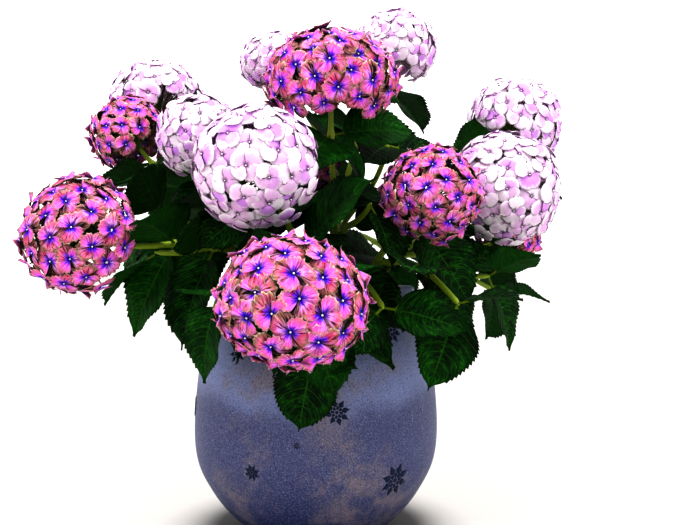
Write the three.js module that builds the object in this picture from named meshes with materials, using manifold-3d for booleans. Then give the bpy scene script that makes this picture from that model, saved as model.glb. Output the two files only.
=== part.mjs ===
// A potted hydrangea: a rounded glazed pot, its compost, nine leafy canes that branch as they
// climb, and fourteen mophead blooms. Millimetres, +Z up, origin at the centre of the pot's foot,
// front towards -Y.

import * as THREE from "three";
import { mergeVertices } from "three/addons/utils/BufferGeometryUtils.js";
import Module from "manifold-3d";

const wasm = await Module();
wasm.setup();
const { Manifold, Mesh: SolidMesh } = wasm;

// Pot
const FOOT_RADIUS = 88; // of the flat foot that the pot stands on
const FLOOR_HEIGHT = 13; // top of the pot's floor
const FLOOR_RADIUS = 84;
const WALL = 9;
const LIP_BEAD = 5.5; // radius of the rounded lip
const POT_OUTLINE = [
  // [radius, height] up the outside, from just above the foot to just under the lip
  [93, 5],
  [119, 28],
  [142, 59],
  [160, 98],
  [164, 151],
  [157, 228],
  [144, 280],
  [134, 322],
];
const OUTLINE_STEPS = 9;
const INSIDE_STEPS = 5;
const TURN_STEPS = 26; // facets round the pot

// Compost
const FIT_GAP = 0.5; // clearance wherever one piece stands in or against another
const COMPOST_DEPTH = 26; // below the lip, at the wall
const MOUND = 9; // how much higher the middle is than the edge
const LUMP = 2.2; // height of the compost's unevenness

// Canes
const CANE_RADIUS = 4.4;
const FORK_RADIUS = 3.7;
const FORK_SWING = 0.45; // how far a fork starts off towards its end, against along its parent
const CANE_SIDES = 4;
const CANE_STEPS = 6;
const FORK_STEPS = 5;
const CANE_ROOT_DEPTH = 16; // how far a cane goes down into the compost
const CANE_SPREAD = 250; // a cane leans from upright by its foot's offset over this height

// Where the leaves stand
const PAIR_SPACING = 80; // along the cane, between one pair of leaves and the next
const UNDER_BLOOM = { bare: 32, size: 0.8 }; // the leafless length, and the size of the pair there
const SHOOT_END = { bare: 3, size: 0.62 };
const FULL_SIZE_AT = 130; // beyond the bare length, where leaves are full grown
const LOWEST_PAIR = 30; // above the foot of a branch
const BARE_FOOT = 70; // above the foot of a cane
const SPREAD_AXIS = [0, 110]; // leaves reach and face away from an upright line here
const REACH_OUT = 0.5; // how much a leaf's direction is outward, against across its cane
const REACH_ALONG = 0.2;
const DROOP = [0.3, 0.65];
const LEAF_FACING = 0.75; // how much leaves face outward, against upward
const NATURAL = { turn: 14, roll: 16, size: 0.1 }; // how much each leaf strays, degrees and share
const SEARCH = { turn: 75, roll: 40, droop: 0.5, size: 0.25 }; // how far the last try may stray
const LEAF_TRIES = 30;
const LEAF_GAP = 1.4;

// Leaves
const LEAF_LENGTH = 112;
const LEAF_HALF_WIDTH = 0.4; // as a share of the length
const LEAF_SAG = 0.2;
const LEAF_FOLD = 0.22;
const PETIOLE = 17;
const PETIOLE_ROOT = 2; // from the middle of the cane
const PETIOLE_HALF_WIDTH = 1.9;
const BLADE_HALF_THICKNESS = 1.1; // at the midrib; the blade thins to its edge
const TEETH = 4; // on each side of a leaf
const FIRST_TOOTH = 0.1; // as a share of the blade's length
const LAST_TOOTH = 0.82;
const NOTCH_STEP = 0.05; // from a tooth to the notch beyond it
const NOTCH_DEPTH = 0.13;

// Blooms
const DOME_ANGLE = 108; // degrees from the bloom's axis to its lowest florets
const FLORET_AREA = 3300; // of dome to each floret, mm2
const FLORET_REACH = 0.49; // floret radius, as a share of the spacing
const FLORET_DISH = 0.16; // depth of its middle, as a share of its radius
const PETAL_HALF_ANGLE = 30;
const PETAL_NOTCH = 0.7; // how far out two petals part, as a share of the floret's radius
const PETAL_STEP = 0.1; // two of the four petals lie lower than the other two
const NECK_DEPTH = 0.32; // where the stalk widens into the floret
const CORE_SHARE = 0.5; // radius of the knob where the stalks meet, against the bloom's
const STALK_RADIUS = 1.7;
const STALK_ROOT = 4; // how far a stalk is sunk in the knob
const FACE_DEPTH = 0.7947; // from an icosahedron's middle to a face, as a share of its radius

const SEED = 20;
const GOLDEN_ANGLE = Math.PI * (3 - Math.sqrt(5));

// Each bloom: its centre, radius, height against its width where that isn't 1, the way it faces,
// and its colour
const BLOOMS = {
  left: { at: [-258, -190, 388], radius: 68, faces: [-0.75, -0.6, 0.25], colour: "bicolour" },
  left_high: { at: [-280, 90, 548], radius: 60, faces: [-0.55, 0.1, 0.75], colour: "bicolour" },
  top: {
    at: [23, -120, 579],
    radius: 82,
    height: 0.78,
    faces: [0.02, -0.35, 0.94],
    colour: "bicolour",
  },
  front: {
    at: [-11, -310, 316],
    radius: 76,
    height: 0.88,
    faces: [-0.1, -0.98, 0.02],
    colour: "bicolour",
  },
  right: { at: [145, -130, 440], radius: 61, faces: [0.15, -0.7, 0.65], colour: "bicolour" },
  middle: { at: [-25, 10, 492], radius: 55, faces: [0.1, 0.1, 0.98], colour: "bicolour" },
  right_back_low: { at: [292, 170, 405], radius: 56, faces: [0.75, 0.35, 0.45], colour: "bicolour" },
  pale_front: { at: [-59, -200, 463], radius: 73, faces: [-0.2, -0.85, 0.45], colour: "pale" },
  pale_left: { at: [-153, -40, 525], radius: 58, faces: [-0.45, -0.35, 0.8], colour: "pale" },
  pale_left_back: { at: [-275, 230, 625], radius: 80, faces: [-0.3, 0.3, 0.88], colour: "pale" },
  pale_top_left: {
    at: [-62, 100, 660],
    radius: 60,
    height: 0.75,
    faces: [-0.45, 0.05, 0.88],
    colour: "pale",
  },
  pale_top_right: {
    at: [114, 110, 686],
    radius: 64,
    height: 0.88,
    faces: [0.4, -0.1, 0.9],
    colour: "pale",
  },
  pale_right: { at: [258, 10, 460], radius: 82, faces: [0.5, -0.65, 0.55], colour: "pale" },
  pale_right_back: { at: [304, 150, 576], radius: 75, faces: [0.3, 0.2, 0.92], colour: "pale" },
};

// Each cane: where it leaves the compost, then its branches. A branch climbs to a bloom or to a
// leafy end; "from" is the share of the first branch where a later one forks off; "lift" and
// "reach" are how far the curve keeps its first and last directions; "turn" aims its leaves;
// "bare" is the leafless length under its bloom, and "pairs" the most pairs of leaves it bears.
const CANES = {
  cane_front: {
    foot: [-14, -52],
    branches: [
      { bloom: "pale_front", lift: 120, reach: 70, turn: 150 },
      { bloom: "front", from: 0.42, lift: 70, reach: 95, turn: 150 },
      { end: [8, -215, 262], faces: [0.1, -0.7, -0.7], from: 0.3, lift: 95, reach: 75, turn: 60 },
      { end: [84, -190, 304], faces: [0.3, -0.7, -0.6], from: 0.22, lift: 80, reach: 70, turn: 150 },
    ],
  },
  cane_left: {
    foot: [-62, -30],
    branches: [
      { bloom: "left", lift: 150, reach: 90, turn: 150, bare: 90 },
      { end: [-190, -135, 370], faces: [-0.8, -0.4, 0.1], from: 0.3, lift: 60, reach: 60, turn: 90 },
      { end: [-108, -178, 318], faces: [-0.35, -0.6, -0.7], from: 0.2, lift: 60, reach: 50, turn: 90 },
    ],
  },
  cane_left_high: {
    foot: [-50, 16],
    branches: [
      { bloom: "pale_left", lift: 110, reach: 60, turn: 150 },
      { bloom: "left_high", from: 0.4, lift: 90, reach: 80, turn: 30 },
      { end: [-202, -60, 420], faces: [-0.8, -0.4, 0.3], from: 0.3, lift: 60, reach: 50, turn: 150 },
    ],
  },
  cane_left_back: {
    foot: [-44, 58],
    branches: [
      { bloom: "pale_left_back", lift: 170, reach: 110, turn: 60, pairs: 2 },
      { end: [-235, 150, 372], faces: [-0.85, 0.4, -0.2], from: 0.26, lift: 70, reach: 70, turn: 120 },
      { end: [-60, 232, 402], faces: [-0.15, 0.9, 0.2], from: 0.2, lift: 80, reach: 70, turn: 15 },
    ],
  },
  cane_top: {
    foot: [22, -18],
    branches: [
      { bloom: "top", lift: 130, reach: 100, turn: 60 },
      { bloom: "middle", from: 0.35, lift: 50, reach: 50, turn: 20 },
      { end: [72, -130, 430], faces: [0.35, -0.6, 0.6], from: 0.3, lift: 60, reach: 60, turn: 10 },
    ],
  },
  cane_back: {
    foot: [16, 48],
    branches: [
      { bloom: "pale_top_right", lift: 180, reach: 120, turn: 60, pairs: 2 },
      { bloom: "pale_top_left", from: 0.4, lift: 90, reach: 90, turn: 0, pairs: 2 },
      {
        end: [120, 258, 372], faces: [0.4, 0.85, -0.25],
        from: 0.22, lift: 80, reach: 70, turn: 150, pairs: 2,
      },
      { end: [98, -10, 522], faces: [0.2, -0.3, 0.9], from: 0.25, lift: 60, reach: 90, turn: 60, pairs: 3 },
    ],
  },
  cane_right: {
    foot: [58, -42],
    branches: [
      { bloom: "right", lift: 130, reach: 60, turn: 0 },
      { end: [228, -62, 341], faces: [0.95, -0.1, 0.05], from: 0.3, lift: 60, reach: 110, turn: 30 },
      { end: [172, -176, 308], faces: [0.45, -0.6, -0.6], from: 0.34, lift: 60, reach: 60, turn: 0 },
    ],
  },
  cane_right_high: {
    foot: [70, 10],
    branches: [
      { bloom: "pale_right", lift: 120, reach: 70, turn: 0 },
      { end: [262, 92, 318], faces: [0.85, 0.3, -0.4], from: 0.36, lift: 60, reach: 70, turn: 60 },
    ],
  },
  cane_right_back: {
    foot: [54, 60],
    branches: [
      { bloom: "pale_right_back", lift: 150, reach: 100, turn: 150, pairs: 2 },
      { bloom: "right_back_low", from: 0.36, lift: 70, reach: 70, turn: 10 },
    ],
  },
};

const MATERIALS = {
  glaze: new THREE.MeshStandardMaterial({ color: 0x5a6088, roughness: 0.28, metalness: 0 }),
  compost: new THREE.MeshStandardMaterial({ color: 0x2a1c12, roughness: 0.95, metalness: 0 }),
  foliage: new THREE.MeshStandardMaterial({ color: 0x0f4214, roughness: 0.55, metalness: 0 }),
  bicolour: new THREE.MeshStandardMaterial({ color: 0xd85a96, roughness: 0.7, metalness: 0 }),
  pale: new THREE.MeshStandardMaterial({ color: 0xf1d9f4, roughness: 0.7, metalness: 0 }),
};

const vector = (xyz) => new THREE.Vector3(...xyz);
const radians = THREE.MathUtils.degToRad;

// A repeatable number from 0 to 1 for a list of whole numbers
function draw(...keys) {
  let h = SEED;
  for (const key of keys) {
    h = Math.imul(h ^ (key + 0x9e3779b9), 0x85ebca6b);
    h ^= h >>> 13;
    h = Math.imul(h, 0xc2b2ae35);
    h ^= h >>> 16;
  }
  return (h >>> 0) / 4294967296;
}

const spread = (amount, ...keys) => amount * (2 * draw(...keys) - 1);

// A closed geometry as a solid that can be joined and cut
function solidOf(geometry) {
  const bare = geometry.index ? geometry.toNonIndexed() : geometry.clone();
  bare.deleteAttribute("normal");
  bare.deleteAttribute("uv");
  const merged = mergeVertices(bare, 1e-3);
  const corners = merged.index.array;
  const kept = [];
  for (let i = 0; i < corners.length; i += 3) {
    const [a, b, c] = corners.slice(i, i + 3);
    if (a !== b && b !== c && c !== a) kept.push(a, b, c);
  }
  return new Manifold(
    new SolidMesh({
      numProp: 3,
      vertProperties: merged.attributes.position.array,
      triVerts: new Uint32Array(kept),
    }),
  );
}

function geometryOfTriangles(points, triangles) {
  const geometry = new THREE.BufferGeometry();
  geometry.setAttribute(
    "position",
    new THREE.Float32BufferAttribute(points.flatMap((p) => p.toArray()), 3),
  );
  geometry.setIndex(triangles.flat());
  return geometry;
}

// A solid as a named mesh of the model
function piece(name, solid, material) {
  const mesh = solid.getMesh();
  const positions = new Float32Array(mesh.numVert * 3);
  for (let i = 0; i < mesh.numVert; i++) {
    positions.set(mesh.vertProperties.subarray(i * mesh.numProp, i * mesh.numProp + 3), i * 3);
  }
  const geometry = new THREE.BufferGeometry();
  geometry.setAttribute("position", new THREE.BufferAttribute(positions, 3));
  geometry.setIndex(new THREE.BufferAttribute(mesh.triVerts, 1));
  geometry.computeVertexNormals();
  const made = new THREE.Mesh(geometry, material);
  made.name = name;
  return made;
}

// A profile of [radius, height] points turned about the Z axis
function turned(profile) {
  const points = profile.map(([radius, height]) => new THREE.Vector2(radius, height));
  return new THREE.LatheGeometry(points, TURN_STEPS).rotateX(Math.PI / 2);
}

// Pot and compost

const outline = new THREE.SplineCurve(POT_OUTLINE.map(([r, z]) => new THREE.Vector2(r, z)));

// The inner face from the floor's edge to the lip: the outline moved in by the wall's thickness
function innerWall() {
  const stations = [[FLOOR_RADIUS, FLOOR_HEIGHT]];
  for (let i = 1; i <= INSIDE_STEPS; i++) {
    const t = i / INSIDE_STEPS;
    const p = outline.getPoint(t);
    const along = outline.getTangent(t);
    stations.push([p.x - along.y * WALL, p.y + along.x * WALL]);
  }
  return stations;
}

function pot() {
  const outside = outline.getPoints(OUTLINE_STEPS).map((p) => [p.x, p.y]);
  const [lipRadius, lipHeight] = POT_OUTLINE.at(-1);
  const lip = [0.25, 0.5, 0.75].map((share) => [
    lipRadius - LIP_BEAD + LIP_BEAD * Math.cos(share * Math.PI),
    lipHeight + LIP_BEAD * Math.sin(share * Math.PI),
  ]);
  return solidOf(
    turned([
      [0, 0],
      [FOOT_RADIUS, 0],
      ...outside,
      ...lip,
      ...innerWall().reverse(),
      [0, FLOOR_HEIGHT],
    ]),
  );
}

function compost(holes) {
  const top = POT_OUTLINE.at(-1)[1] + LIP_BEAD - COMPOST_DEPTH;
  const wall = innerWall().filter(([, z]) => z < top);
  const side = wall.slice(1).map(([r, z]) => [r - FIT_GAP, z]);
  const above = new THREE.Vector2(...innerWall().find(([, z]) => z >= top));
  const below = new THREE.Vector2(...wall.at(-1));
  const rim = below.lerp(above, (top - below.y) / (above.y - below.y));
  const filled = turned([
    [0, FLOOR_HEIGHT + FIT_GAP],
    [FLOOR_RADIUS - FIT_GAP, FLOOR_HEIGHT + FIT_GAP],
    ...side,
    [rim.x - FIT_GAP, top],
    [rim.x * 0.72, top + MOUND * 0.5],
    [rim.x * 0.38, top + MOUND],
    [0, top + MOUND],
  ]);
  const place = filled.attributes.position;
  for (let i = 0; i < place.count; i++) {
    const [x, y, z] = [place.getX(i), place.getY(i), place.getZ(i)];
    if (z > top + 1) place.setZ(i, z + LUMP * Math.sin(x / 17) * Math.cos(y / 13));
  }
  return Manifold.difference([solidOf(filled), ...holes]);
}

// Canes

const compostTop = POT_OUTLINE.at(-1)[1] + LIP_BEAD - COMPOST_DEPTH + MOUND;

// The curve of one branch: it leaves its root in one direction and arrives in another
function branchCurve(branch, root, direction) {
  let end = branch.end && vector(branch.end);
  let faces = branch.faces && vector(branch.faces).normalize();
  if (branch.bloom) {
    const bloom = BLOOMS[branch.bloom];
    faces = vector(bloom.faces).normalize();
    end = vector(bloom.at).addScaledVector(faces, -coreDepth(bloom) - FIT_GAP);
  }
  return new THREE.CubicBezierCurve3(
    root,
    root.clone().addScaledVector(direction, branch.lift),
    end.clone().addScaledVector(faces, -branch.reach),
    end,
  );
}

function caneTube({ curve, steps }, radius) {
  const section = new THREE.Shape();
  for (let i = 0; i < CANE_SIDES; i++) {
    const angle = (2 * Math.PI * i) / CANE_SIDES;
    const corner = [radius * Math.cos(angle), radius * Math.sin(angle)];
    if (i === 0) section.moveTo(...corner);
    else section.lineTo(...corner);
  }
  section.closePath();
  return solidOf(
    new THREE.ExtrudeGeometry(section, { steps, extrudePath: curve }),
  );
}

// The place and direction of the tube's straight-sided middle line, at a share of its length
function alongTube({ curve, steps }, share) {
  const stations = curve.getSpacedPoints(steps);
  const at = THREE.MathUtils.clamp(share, 0, 0.999) * steps;
  const [from, to] = stations.slice(Math.floor(at));
  return { point: from.clone().lerp(to, at % 1), direction: to.clone().sub(from).normalize() };
}

// All the tubes of a cane: the first from the compost, the others forking off it
function caneTubes({ foot, branches }) {
  const upright = new THREE.Vector3(foot[0] / CANE_SPREAD, foot[1] / CANE_SPREAD, 1).normalize();
  const root = new THREE.Vector3(...foot, compostTop - CANE_ROOT_DEPTH);
  const first = { curve: branchCurve(branches[0], root, upright), steps: CANE_STEPS };
  const forks = branches.slice(1).map((branch) => {
    const { point, direction } = alongTube(first, branch.from);
    const aim = vector(branch.end ?? BLOOMS[branch.bloom].at).sub(point).normalize();
    const leaving = direction.lerp(aim, FORK_SWING).normalize();
    return { curve: branchCurve(branch, point, leaving), steps: FORK_STEPS };
  });
  return [first, ...forks];
}

// Leaves

// Half the width of a blade at t, from 0 at its base to 1 at its drawn-out tip
const bladeWidth = (t) => Math.sin(Math.PI * t ** 0.75) ** (0.8 + 0.9 * t);

// Where and how a leaf stands, in one of its possible positions. The first is the natural one,
// and each later one may stray further from it.
function leafPose(tube, fromEnd, grown, angle, key, attempt) {
  const { point: root, direction: along } = alongTube(tube, 1 - fromEnd / tube.curve.getLength());
  const stray = attempt / LEAF_TRIES;
  const turn = angle + spread(NATURAL.turn, key, 1) + spread(SEARCH.turn * stray, key, attempt, 2);
  const roll = spread(NATURAL.roll, key, 3) + spread(SEARCH.roll * stray, key, attempt, 4);
  const droop =
    THREE.MathUtils.lerp(...DROOP, draw(key, 5)) + spread(SEARCH.droop * stray, key, attempt, 6);
  const size =
    LEAF_LENGTH * grown * (1 + spread(NATURAL.size, key, 7)) * (1 - SEARCH.size * stray);

  const across = new THREE.Vector3(0, 1, 0).cross(along).normalize();
  const beside = new THREE.Vector3().crossVectors(along, across);
  const outward = new THREE.Vector3(root.x - SPREAD_AXIS[0], root.y - SPREAD_AXIS[1], 0);
  outward.normalize();
  const direction = across
    .multiplyScalar(Math.cos(radians(turn)))
    .addScaledVector(beside, Math.sin(radians(turn)))
    .addScaledVector(outward, REACH_OUT)
    .addScaledVector(along, REACH_ALONG)
    .add(new THREE.Vector3(0, 0, -droop))
    .normalize();
  const up = new THREE.Vector3(0, 0, 1).addScaledVector(outward, LEAF_FACING);
  up.addScaledVector(direction, -up.dot(direction)).normalize();
  up.applyAxisAngle(direction, radians(roll));
  const rightward = new THREE.Vector3().crossVectors(direction, up);
  return { root, direction, up, rightward, size };
}

// A point of a blade: t along it, v across it from -1 to 1, and h above its middle surface
function leafPoint({ root, direction, up, rightward, size }, t, v, h = 0) {
  const half = size * LEAF_HALF_WIDTH;
  return root
    .clone()
    .addScaledVector(direction, PETIOLE + size * t)
    .addScaledVector(rightward, v * half)
    .addScaledVector(up, -LEAF_SAG * size * t * t + LEAF_FOLD * half * Math.abs(v) + h);
}

// The outline up one side of a blade: its stalk, then a peak and a notch for each tooth
function leafEdge(size) {
  const stalk = PETIOLE_HALF_WIDTH / (size * LEAF_HALF_WIDTH);
  const edge = [
    { t: (PETIOLE_ROOT - PETIOLE) / size, v: stalk },
    { t: 0, v: stalk },
  ];
  for (let tooth = 0; tooth < TEETH; tooth++) {
    const peak = THREE.MathUtils.lerp(FIRST_TOOTH, LAST_TOOTH, tooth / (TEETH - 1));
    const notch = peak + NOTCH_STEP;
    edge.push({ t: peak, v: bladeWidth(peak) });
    if (tooth < TEETH - 1) edge.push({ t: notch, v: bladeWidth(notch) * (1 - NOTCH_DEPTH) });
  }
  return edge;
}

// A toothed blade on its stalk: two faces that meet at the edge and part at the midrib
function leafSolid(pose) {
  const points = [leafPoint(pose, 1, 0)];
  const triangles = [];
  const tip = { t: 1, index: 0 };
  const add = (t, v, h) => ({ t, index: points.push(leafPoint(pose, t, v, h)) - 1 });
  const outline = leafEdge(pose.size);
  const [left, right] = [-1, 1].map((side) => [
    ...outline.map(({ t, v }) => add(t, side * v)),
    tip,
  ]);
  for (const face of [1, -1]) {
    const ribAt = [outline[0].t, 0.03, 0.5];
    const rib = ribAt.map((t) => add(t, 0, face * BLADE_HALF_THICKNESS));
    const [first, second] = face > 0 ? [left, right] : [right, left];
    triangles.push([first[0].index, second[0].index, rib[0].index]);
    for (const [edge, turn] of [
      [right, face],
      [left, -face],
    ]) {
      let r = 0;
      for (let e = 0; e < edge.length - 1; ) {
        const corners = [rib[r].index, edge[e].index];
        if (r < rib.length - 1 && rib[r + 1].t < edge[e + 1].t) corners.push(rib[++r].index);
        else corners.push(edge[++e].index);
        triangles.push(turn > 0 ? corners : corners.reverse());
      }
    }
  }
  return solidOf(geometryOfTriangles(points, triangles));
}

// Blooms

// From the centre of a bloom to the flat face of its knob
const coreDepth = ({ radius }) => radius * CORE_SHARE * FACE_DEPTH;

// The florets' places on a dome: a spiral that gives each one the same area, flattened to the
// bloom's height
function floretPlaces({ at, radius, height = 1, faces }, number) {
  const flattened = new THREE.Vector3(1, 1, height);
  const dome = 1 - Math.cos(radians(DOME_ANGLE));
  const count = Math.round((2 * Math.PI * dome * radius * radius) / FLORET_AREA);
  const tilt = new THREE.Quaternion().setFromUnitVectors(
    new THREE.Vector3(0, 0, 1),
    vector(faces).normalize(),
  );
  const spacing = Math.sqrt((2 * Math.PI * dome * radius * radius) / count);
  return Array.from({ length: count }, (_, i) => {
    const cosine = 1 - (dome * (i + 0.5)) / count;
    const sine = Math.sqrt(1 - cosine * cosine);
    const angle = i * GOLDEN_ANGLE;
    const normal = new THREE.Vector3(sine * Math.cos(angle), sine * Math.sin(angle), cosine);
    normal.applyQuaternion(tilt);
    return {
      normal: normal.clone().divide(flattened).normalize(),
      at: vector(at).addScaledVector(normal.multiply(flattened), radius),
      size: spacing * FLORET_REACH,
      spin: 2 * Math.PI * draw(number, i, 8),
    };
  });
}

// A floret: four broad petals that dish towards the middle, on a three-sided stalk
function floretSolid({ normal, at, size, spin }, centre, coreRadius) {
  const across = new THREE.Vector3(0.4, 0.3, 0.87).cross(normal).normalize();
  const beside = new THREE.Vector3().crossVectors(normal, across);
  const ringPoint = (origin, angle, radius) =>
    origin
      .clone()
      .addScaledVector(across, radius * Math.cos(angle + spin))
      .addScaledVector(beside, radius * Math.sin(angle + spin));
  const raised = (height) => at.clone().addScaledVector(normal, size * height);
  const stalkTurn = (2 * Math.PI) / 3;

  const points = [raised(-FLORET_DISH)];
  const angles = [];
  for (let petal = 0; petal < 4; petal++) {
    const lift = petal % 2 ? 0 : -PETAL_STEP;
    for (const [degrees, share, height] of [
      [-PETAL_HALF_ANGLE, 1, lift],
      [PETAL_HALF_ANGLE, 1, lift],
      [45, PETAL_NOTCH, -PETAL_STEP],
    ]) {
      const angle = radians(90 * petal + PETAL_HALF_ANGLE + degrees);
      angles.push(angle);
      points.push(ringPoint(raised(height), angle, size * share));
    }
  }
  const foot = centre.clone().addScaledVector(normal, coreRadius * FACE_DEPTH - STALK_ROOT);
  const neckStart = points.length;
  for (const origin of [raised(-NECK_DEPTH), foot]) {
    for (let corner = 0; corner < 3; corner++) {
      points.push(ringPoint(origin, corner * stalkTurn, STALK_RADIUS));
    }
  }
  const neckAt = (corner) => neckStart + (corner % 3);
  const footAt = (corner) => neckStart + 3 + (corner % 3);
  const nearest = (i) => Math.round((i < angles.length ? angles[i] : 2 * Math.PI) / stalkTurn);

  const triangles = [[footAt(0), footAt(2), footAt(1)]];
  for (let i = 0; i < angles.length; i++) {
    const here = 1 + i;
    const next = 1 + ((i + 1) % angles.length);
    triangles.push([0, here, next], [here, neckAt(nearest(i)), next]);
    if (nearest(i) !== nearest(i + 1)) {
      triangles.push([next, neckAt(nearest(i)), neckAt(nearest(i + 1))]);
    }
  }
  for (let corner = 0; corner < 3; corner++) {
    triangles.push(
      [neckAt(corner), footAt(corner), footAt(corner + 1)],
      [neckAt(corner), footAt(corner + 1), neckAt(corner + 1)],
    );
  }
  return solidOf(geometryOfTriangles(points, triangles));
}

// A bloom: florets on stalks that meet in a knob, which shows one flat face to its cane
function bloomSolid(bloom, number) {
  const centre = vector(bloom.at);
  const coreRadius = bloom.radius * CORE_SHARE;
  const core = new THREE.IcosahedronGeometry(coreRadius, 0);
  const corners = core.attributes.position;
  const face = new THREE.Vector3();
  for (let i = 0; i < 3; i++) face.add(new THREE.Vector3().fromBufferAttribute(corners, i));
  const down = vector(bloom.faces).normalize().negate();
  core.applyQuaternion(new THREE.Quaternion().setFromUnitVectors(face.normalize(), down));
  core.translate(...bloom.at);
  const florets = floretPlaces(bloom, number).map((place) =>
    floretSolid(place, centre, coreRadius),
  );
  return Manifold.union([solidOf(core), ...florets]);
}

// Assembly

const root = new THREE.Group();

function keep(name, solid, material) {
  root.add(piece(name, solid, material));
  return solid;
}

// Whether a solid keeps its distance from all the others
function clear(solid, others) {
  const box = solid.boundingBox();
  return others.every((other) => {
    const near = other.boundingBox();
    const apart = [0, 1, 2].some(
      (k) => box.min[k] - LEAF_GAP > near.max[k] || near.min[k] - LEAF_GAP > box.max[k],
    );
    return apart || solid.minGap(other, LEAF_GAP) >= LEAF_GAP;
  });
}

// Whether a leaf meets its own cane with its stalk alone
function rootedOnly(leaf, cane) {
  const { min, max } = leaf.intersect(cane).boundingBox();
  return [0, 1, 2].every((k) => max[k] > min[k] && max[k] - min[k] < 2.5 * CANE_RADIUS);
}

const fixed = [keep("pot", pot(), MATERIALS.glaze)];
Object.entries(BLOOMS).forEach(([name, bloom], number) => {
  fixed.push(keep(`bloom_${name}`, bloomSolid(bloom, number), MATERIALS[bloom.colour]));
});

const shoots = Object.entries(CANES).flatMap(([name, cane], caneNumber) =>
  caneTubes(cane).map((tube, b) => ({
    name,
    branch: cane.branches[b],
    tube,
    key: caneNumber * 8 + b,
    lowest: b === 0 ? BARE_FOOT : LOWEST_PAIR,
    wood: caneTube(tube, b === 0 ? CANE_RADIUS : FORK_RADIUS),
    leaves: [],
  })),
);

// The leaves go on from the first cane to the last. Each takes the first of its possible
// positions that is clear of everything in place, and is left out if none is.
for (const shoot of shoots) {
  const { branch, tube, key, lowest } = shoot;
  const age = branch.bloom ? UNDER_BLOOM : SHOOT_END;
  const bare = branch.bare ?? age.bare;
  const fitting = Math.ceil((tube.curve.getLength() - lowest - bare) / PAIR_SPACING);
  for (let pair = 0; pair < Math.min(fitting, branch.pairs ?? fitting); pair++) {
    const fromEnd = bare + pair * PAIR_SPACING;
    const grown = THREE.MathUtils.lerp(
      age.size, 1, Math.min(1, (fromEnd - age.bare) / FULL_SIZE_AT),
    );
    for (const side of [0, 1]) {
      const angle = branch.turn + 90 * pair + 180 * side;
      const leafKey = (key * 16 + pair) * 2 + side;
      const others = shoots.flatMap((s) => (s === shoot ? s.leaves : [s.wood, ...s.leaves]));
      for (let attempt = 0; attempt < LEAF_TRIES; attempt++) {
        const leaf = leafSolid(leafPose(tube, fromEnd, grown, angle, leafKey, attempt));
        if (rootedOnly(leaf, shoot.wood) && clear(leaf, [...fixed, ...others])) {
          shoot.leaves.push(leaf);
          break;
        }
      }
    }
  }
}

for (const name of Object.keys(CANES)) {
  const own = shoots.filter((shoot) => shoot.name === name);
  const solid = Manifold.union(own.flatMap(({ wood, leaves }) => [wood, ...leaves]));
  keep(name, solid, MATERIALS.foliage);
}

// Each cane stands in a plain hole in the compost
const holes = shoots
  .filter(({ name, branch }) => branch === CANES[name].branches[0])
  .map(({ tube }) => caneTube(tube, CANE_RADIUS + 2 * FIT_GAP).translate([0, 0, -FIT_GAP]));
keep("compost", compost(holes), MATERIALS.compost);

export default root;
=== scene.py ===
"""A potted hydrangea, dressed round its CAD model: florets of life size, veined and toothed leaves,
round canes, a glazed pot with stamped rosettes, and crumbly compost. Lengths are millimetres, and
each mesh is put into Blender in metres."""

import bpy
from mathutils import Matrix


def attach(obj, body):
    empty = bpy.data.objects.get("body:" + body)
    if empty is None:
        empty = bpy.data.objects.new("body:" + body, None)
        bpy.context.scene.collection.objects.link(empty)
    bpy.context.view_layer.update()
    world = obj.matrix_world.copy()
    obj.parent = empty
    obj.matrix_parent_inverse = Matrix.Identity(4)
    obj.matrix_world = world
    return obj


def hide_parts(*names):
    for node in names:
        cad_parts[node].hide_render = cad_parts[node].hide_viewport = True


bl_info = {
    "name": "Potted hydrangea",
    "version": (1, 0, 0),
    "blender": (4, 5, 0),
    "location": "View3D > Sidebar > Hydrangea",
    "description": "Builds the florets, leaves, canes, pot and stage of a potted hydrangea",
    "category": "Add Mesh",
}

import math

import bpy
import numpy as np
from bpy.props import FloatProperty, FloatVectorProperty, IntProperty, PointerProperty

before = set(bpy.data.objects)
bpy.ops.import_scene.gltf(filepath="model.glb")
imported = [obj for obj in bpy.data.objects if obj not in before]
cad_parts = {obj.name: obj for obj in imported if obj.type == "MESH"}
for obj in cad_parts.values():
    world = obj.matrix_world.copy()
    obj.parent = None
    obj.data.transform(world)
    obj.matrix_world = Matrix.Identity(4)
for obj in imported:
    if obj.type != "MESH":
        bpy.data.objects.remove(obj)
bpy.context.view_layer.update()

MM = 0.001
BODY = "root"

# Pot, as in the CAD model
FOOT_RADIUS = 88.0
FLOOR_HEIGHT = 13.0
FLOOR_RADIUS = 84.0
WALL = 9.0
LIP_BEAD = 5.5
POT_OUTLINE = [
    # (radius, height) up the outside, from just above the foot to just under the lip
    (93, 5),
    (119, 28),
    (142, 59),
    (160, 98),
    (164, 151),
    (157, 228),
    (144, 280),
    (134, 322),
]

# Stamps in the glaze: degrees round from the front, height, and width across
STAMPS = [
    (10.9, 181, 32),
    (-26.0, 107, 21),
    (39.7, 92, 43),
    (-36.3, 247, 27),
    (41.7, 274, 34),
    (-5.6, 143, 10),
    (-78, 168, 30),
    (84, 205, 24),
    (118, 120, 30),
    (158, 232, 26),
    (-160, 140, 32),
    (-122, 216, 22),
    (-104, 96, 18),
]
STAMP_PETALS = 8
# Parts of a stamp against half its width: how far out, and half the length and width; how far a
# kite's broadest place is moved inwards; and how far a stamp's rim stands off the wall and is sunk
STAMP_MIDDLE = (0.0, 0.13, 0.13)
STAMP_KITE = (0.7, 0.31, 0.21)
STAMP_OVAL = (0.33, 0.14, 0.1)
KITE_POINT = 0.3
STAMP_RISE, STAMP_SINK = 0.1, 1.5

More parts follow.
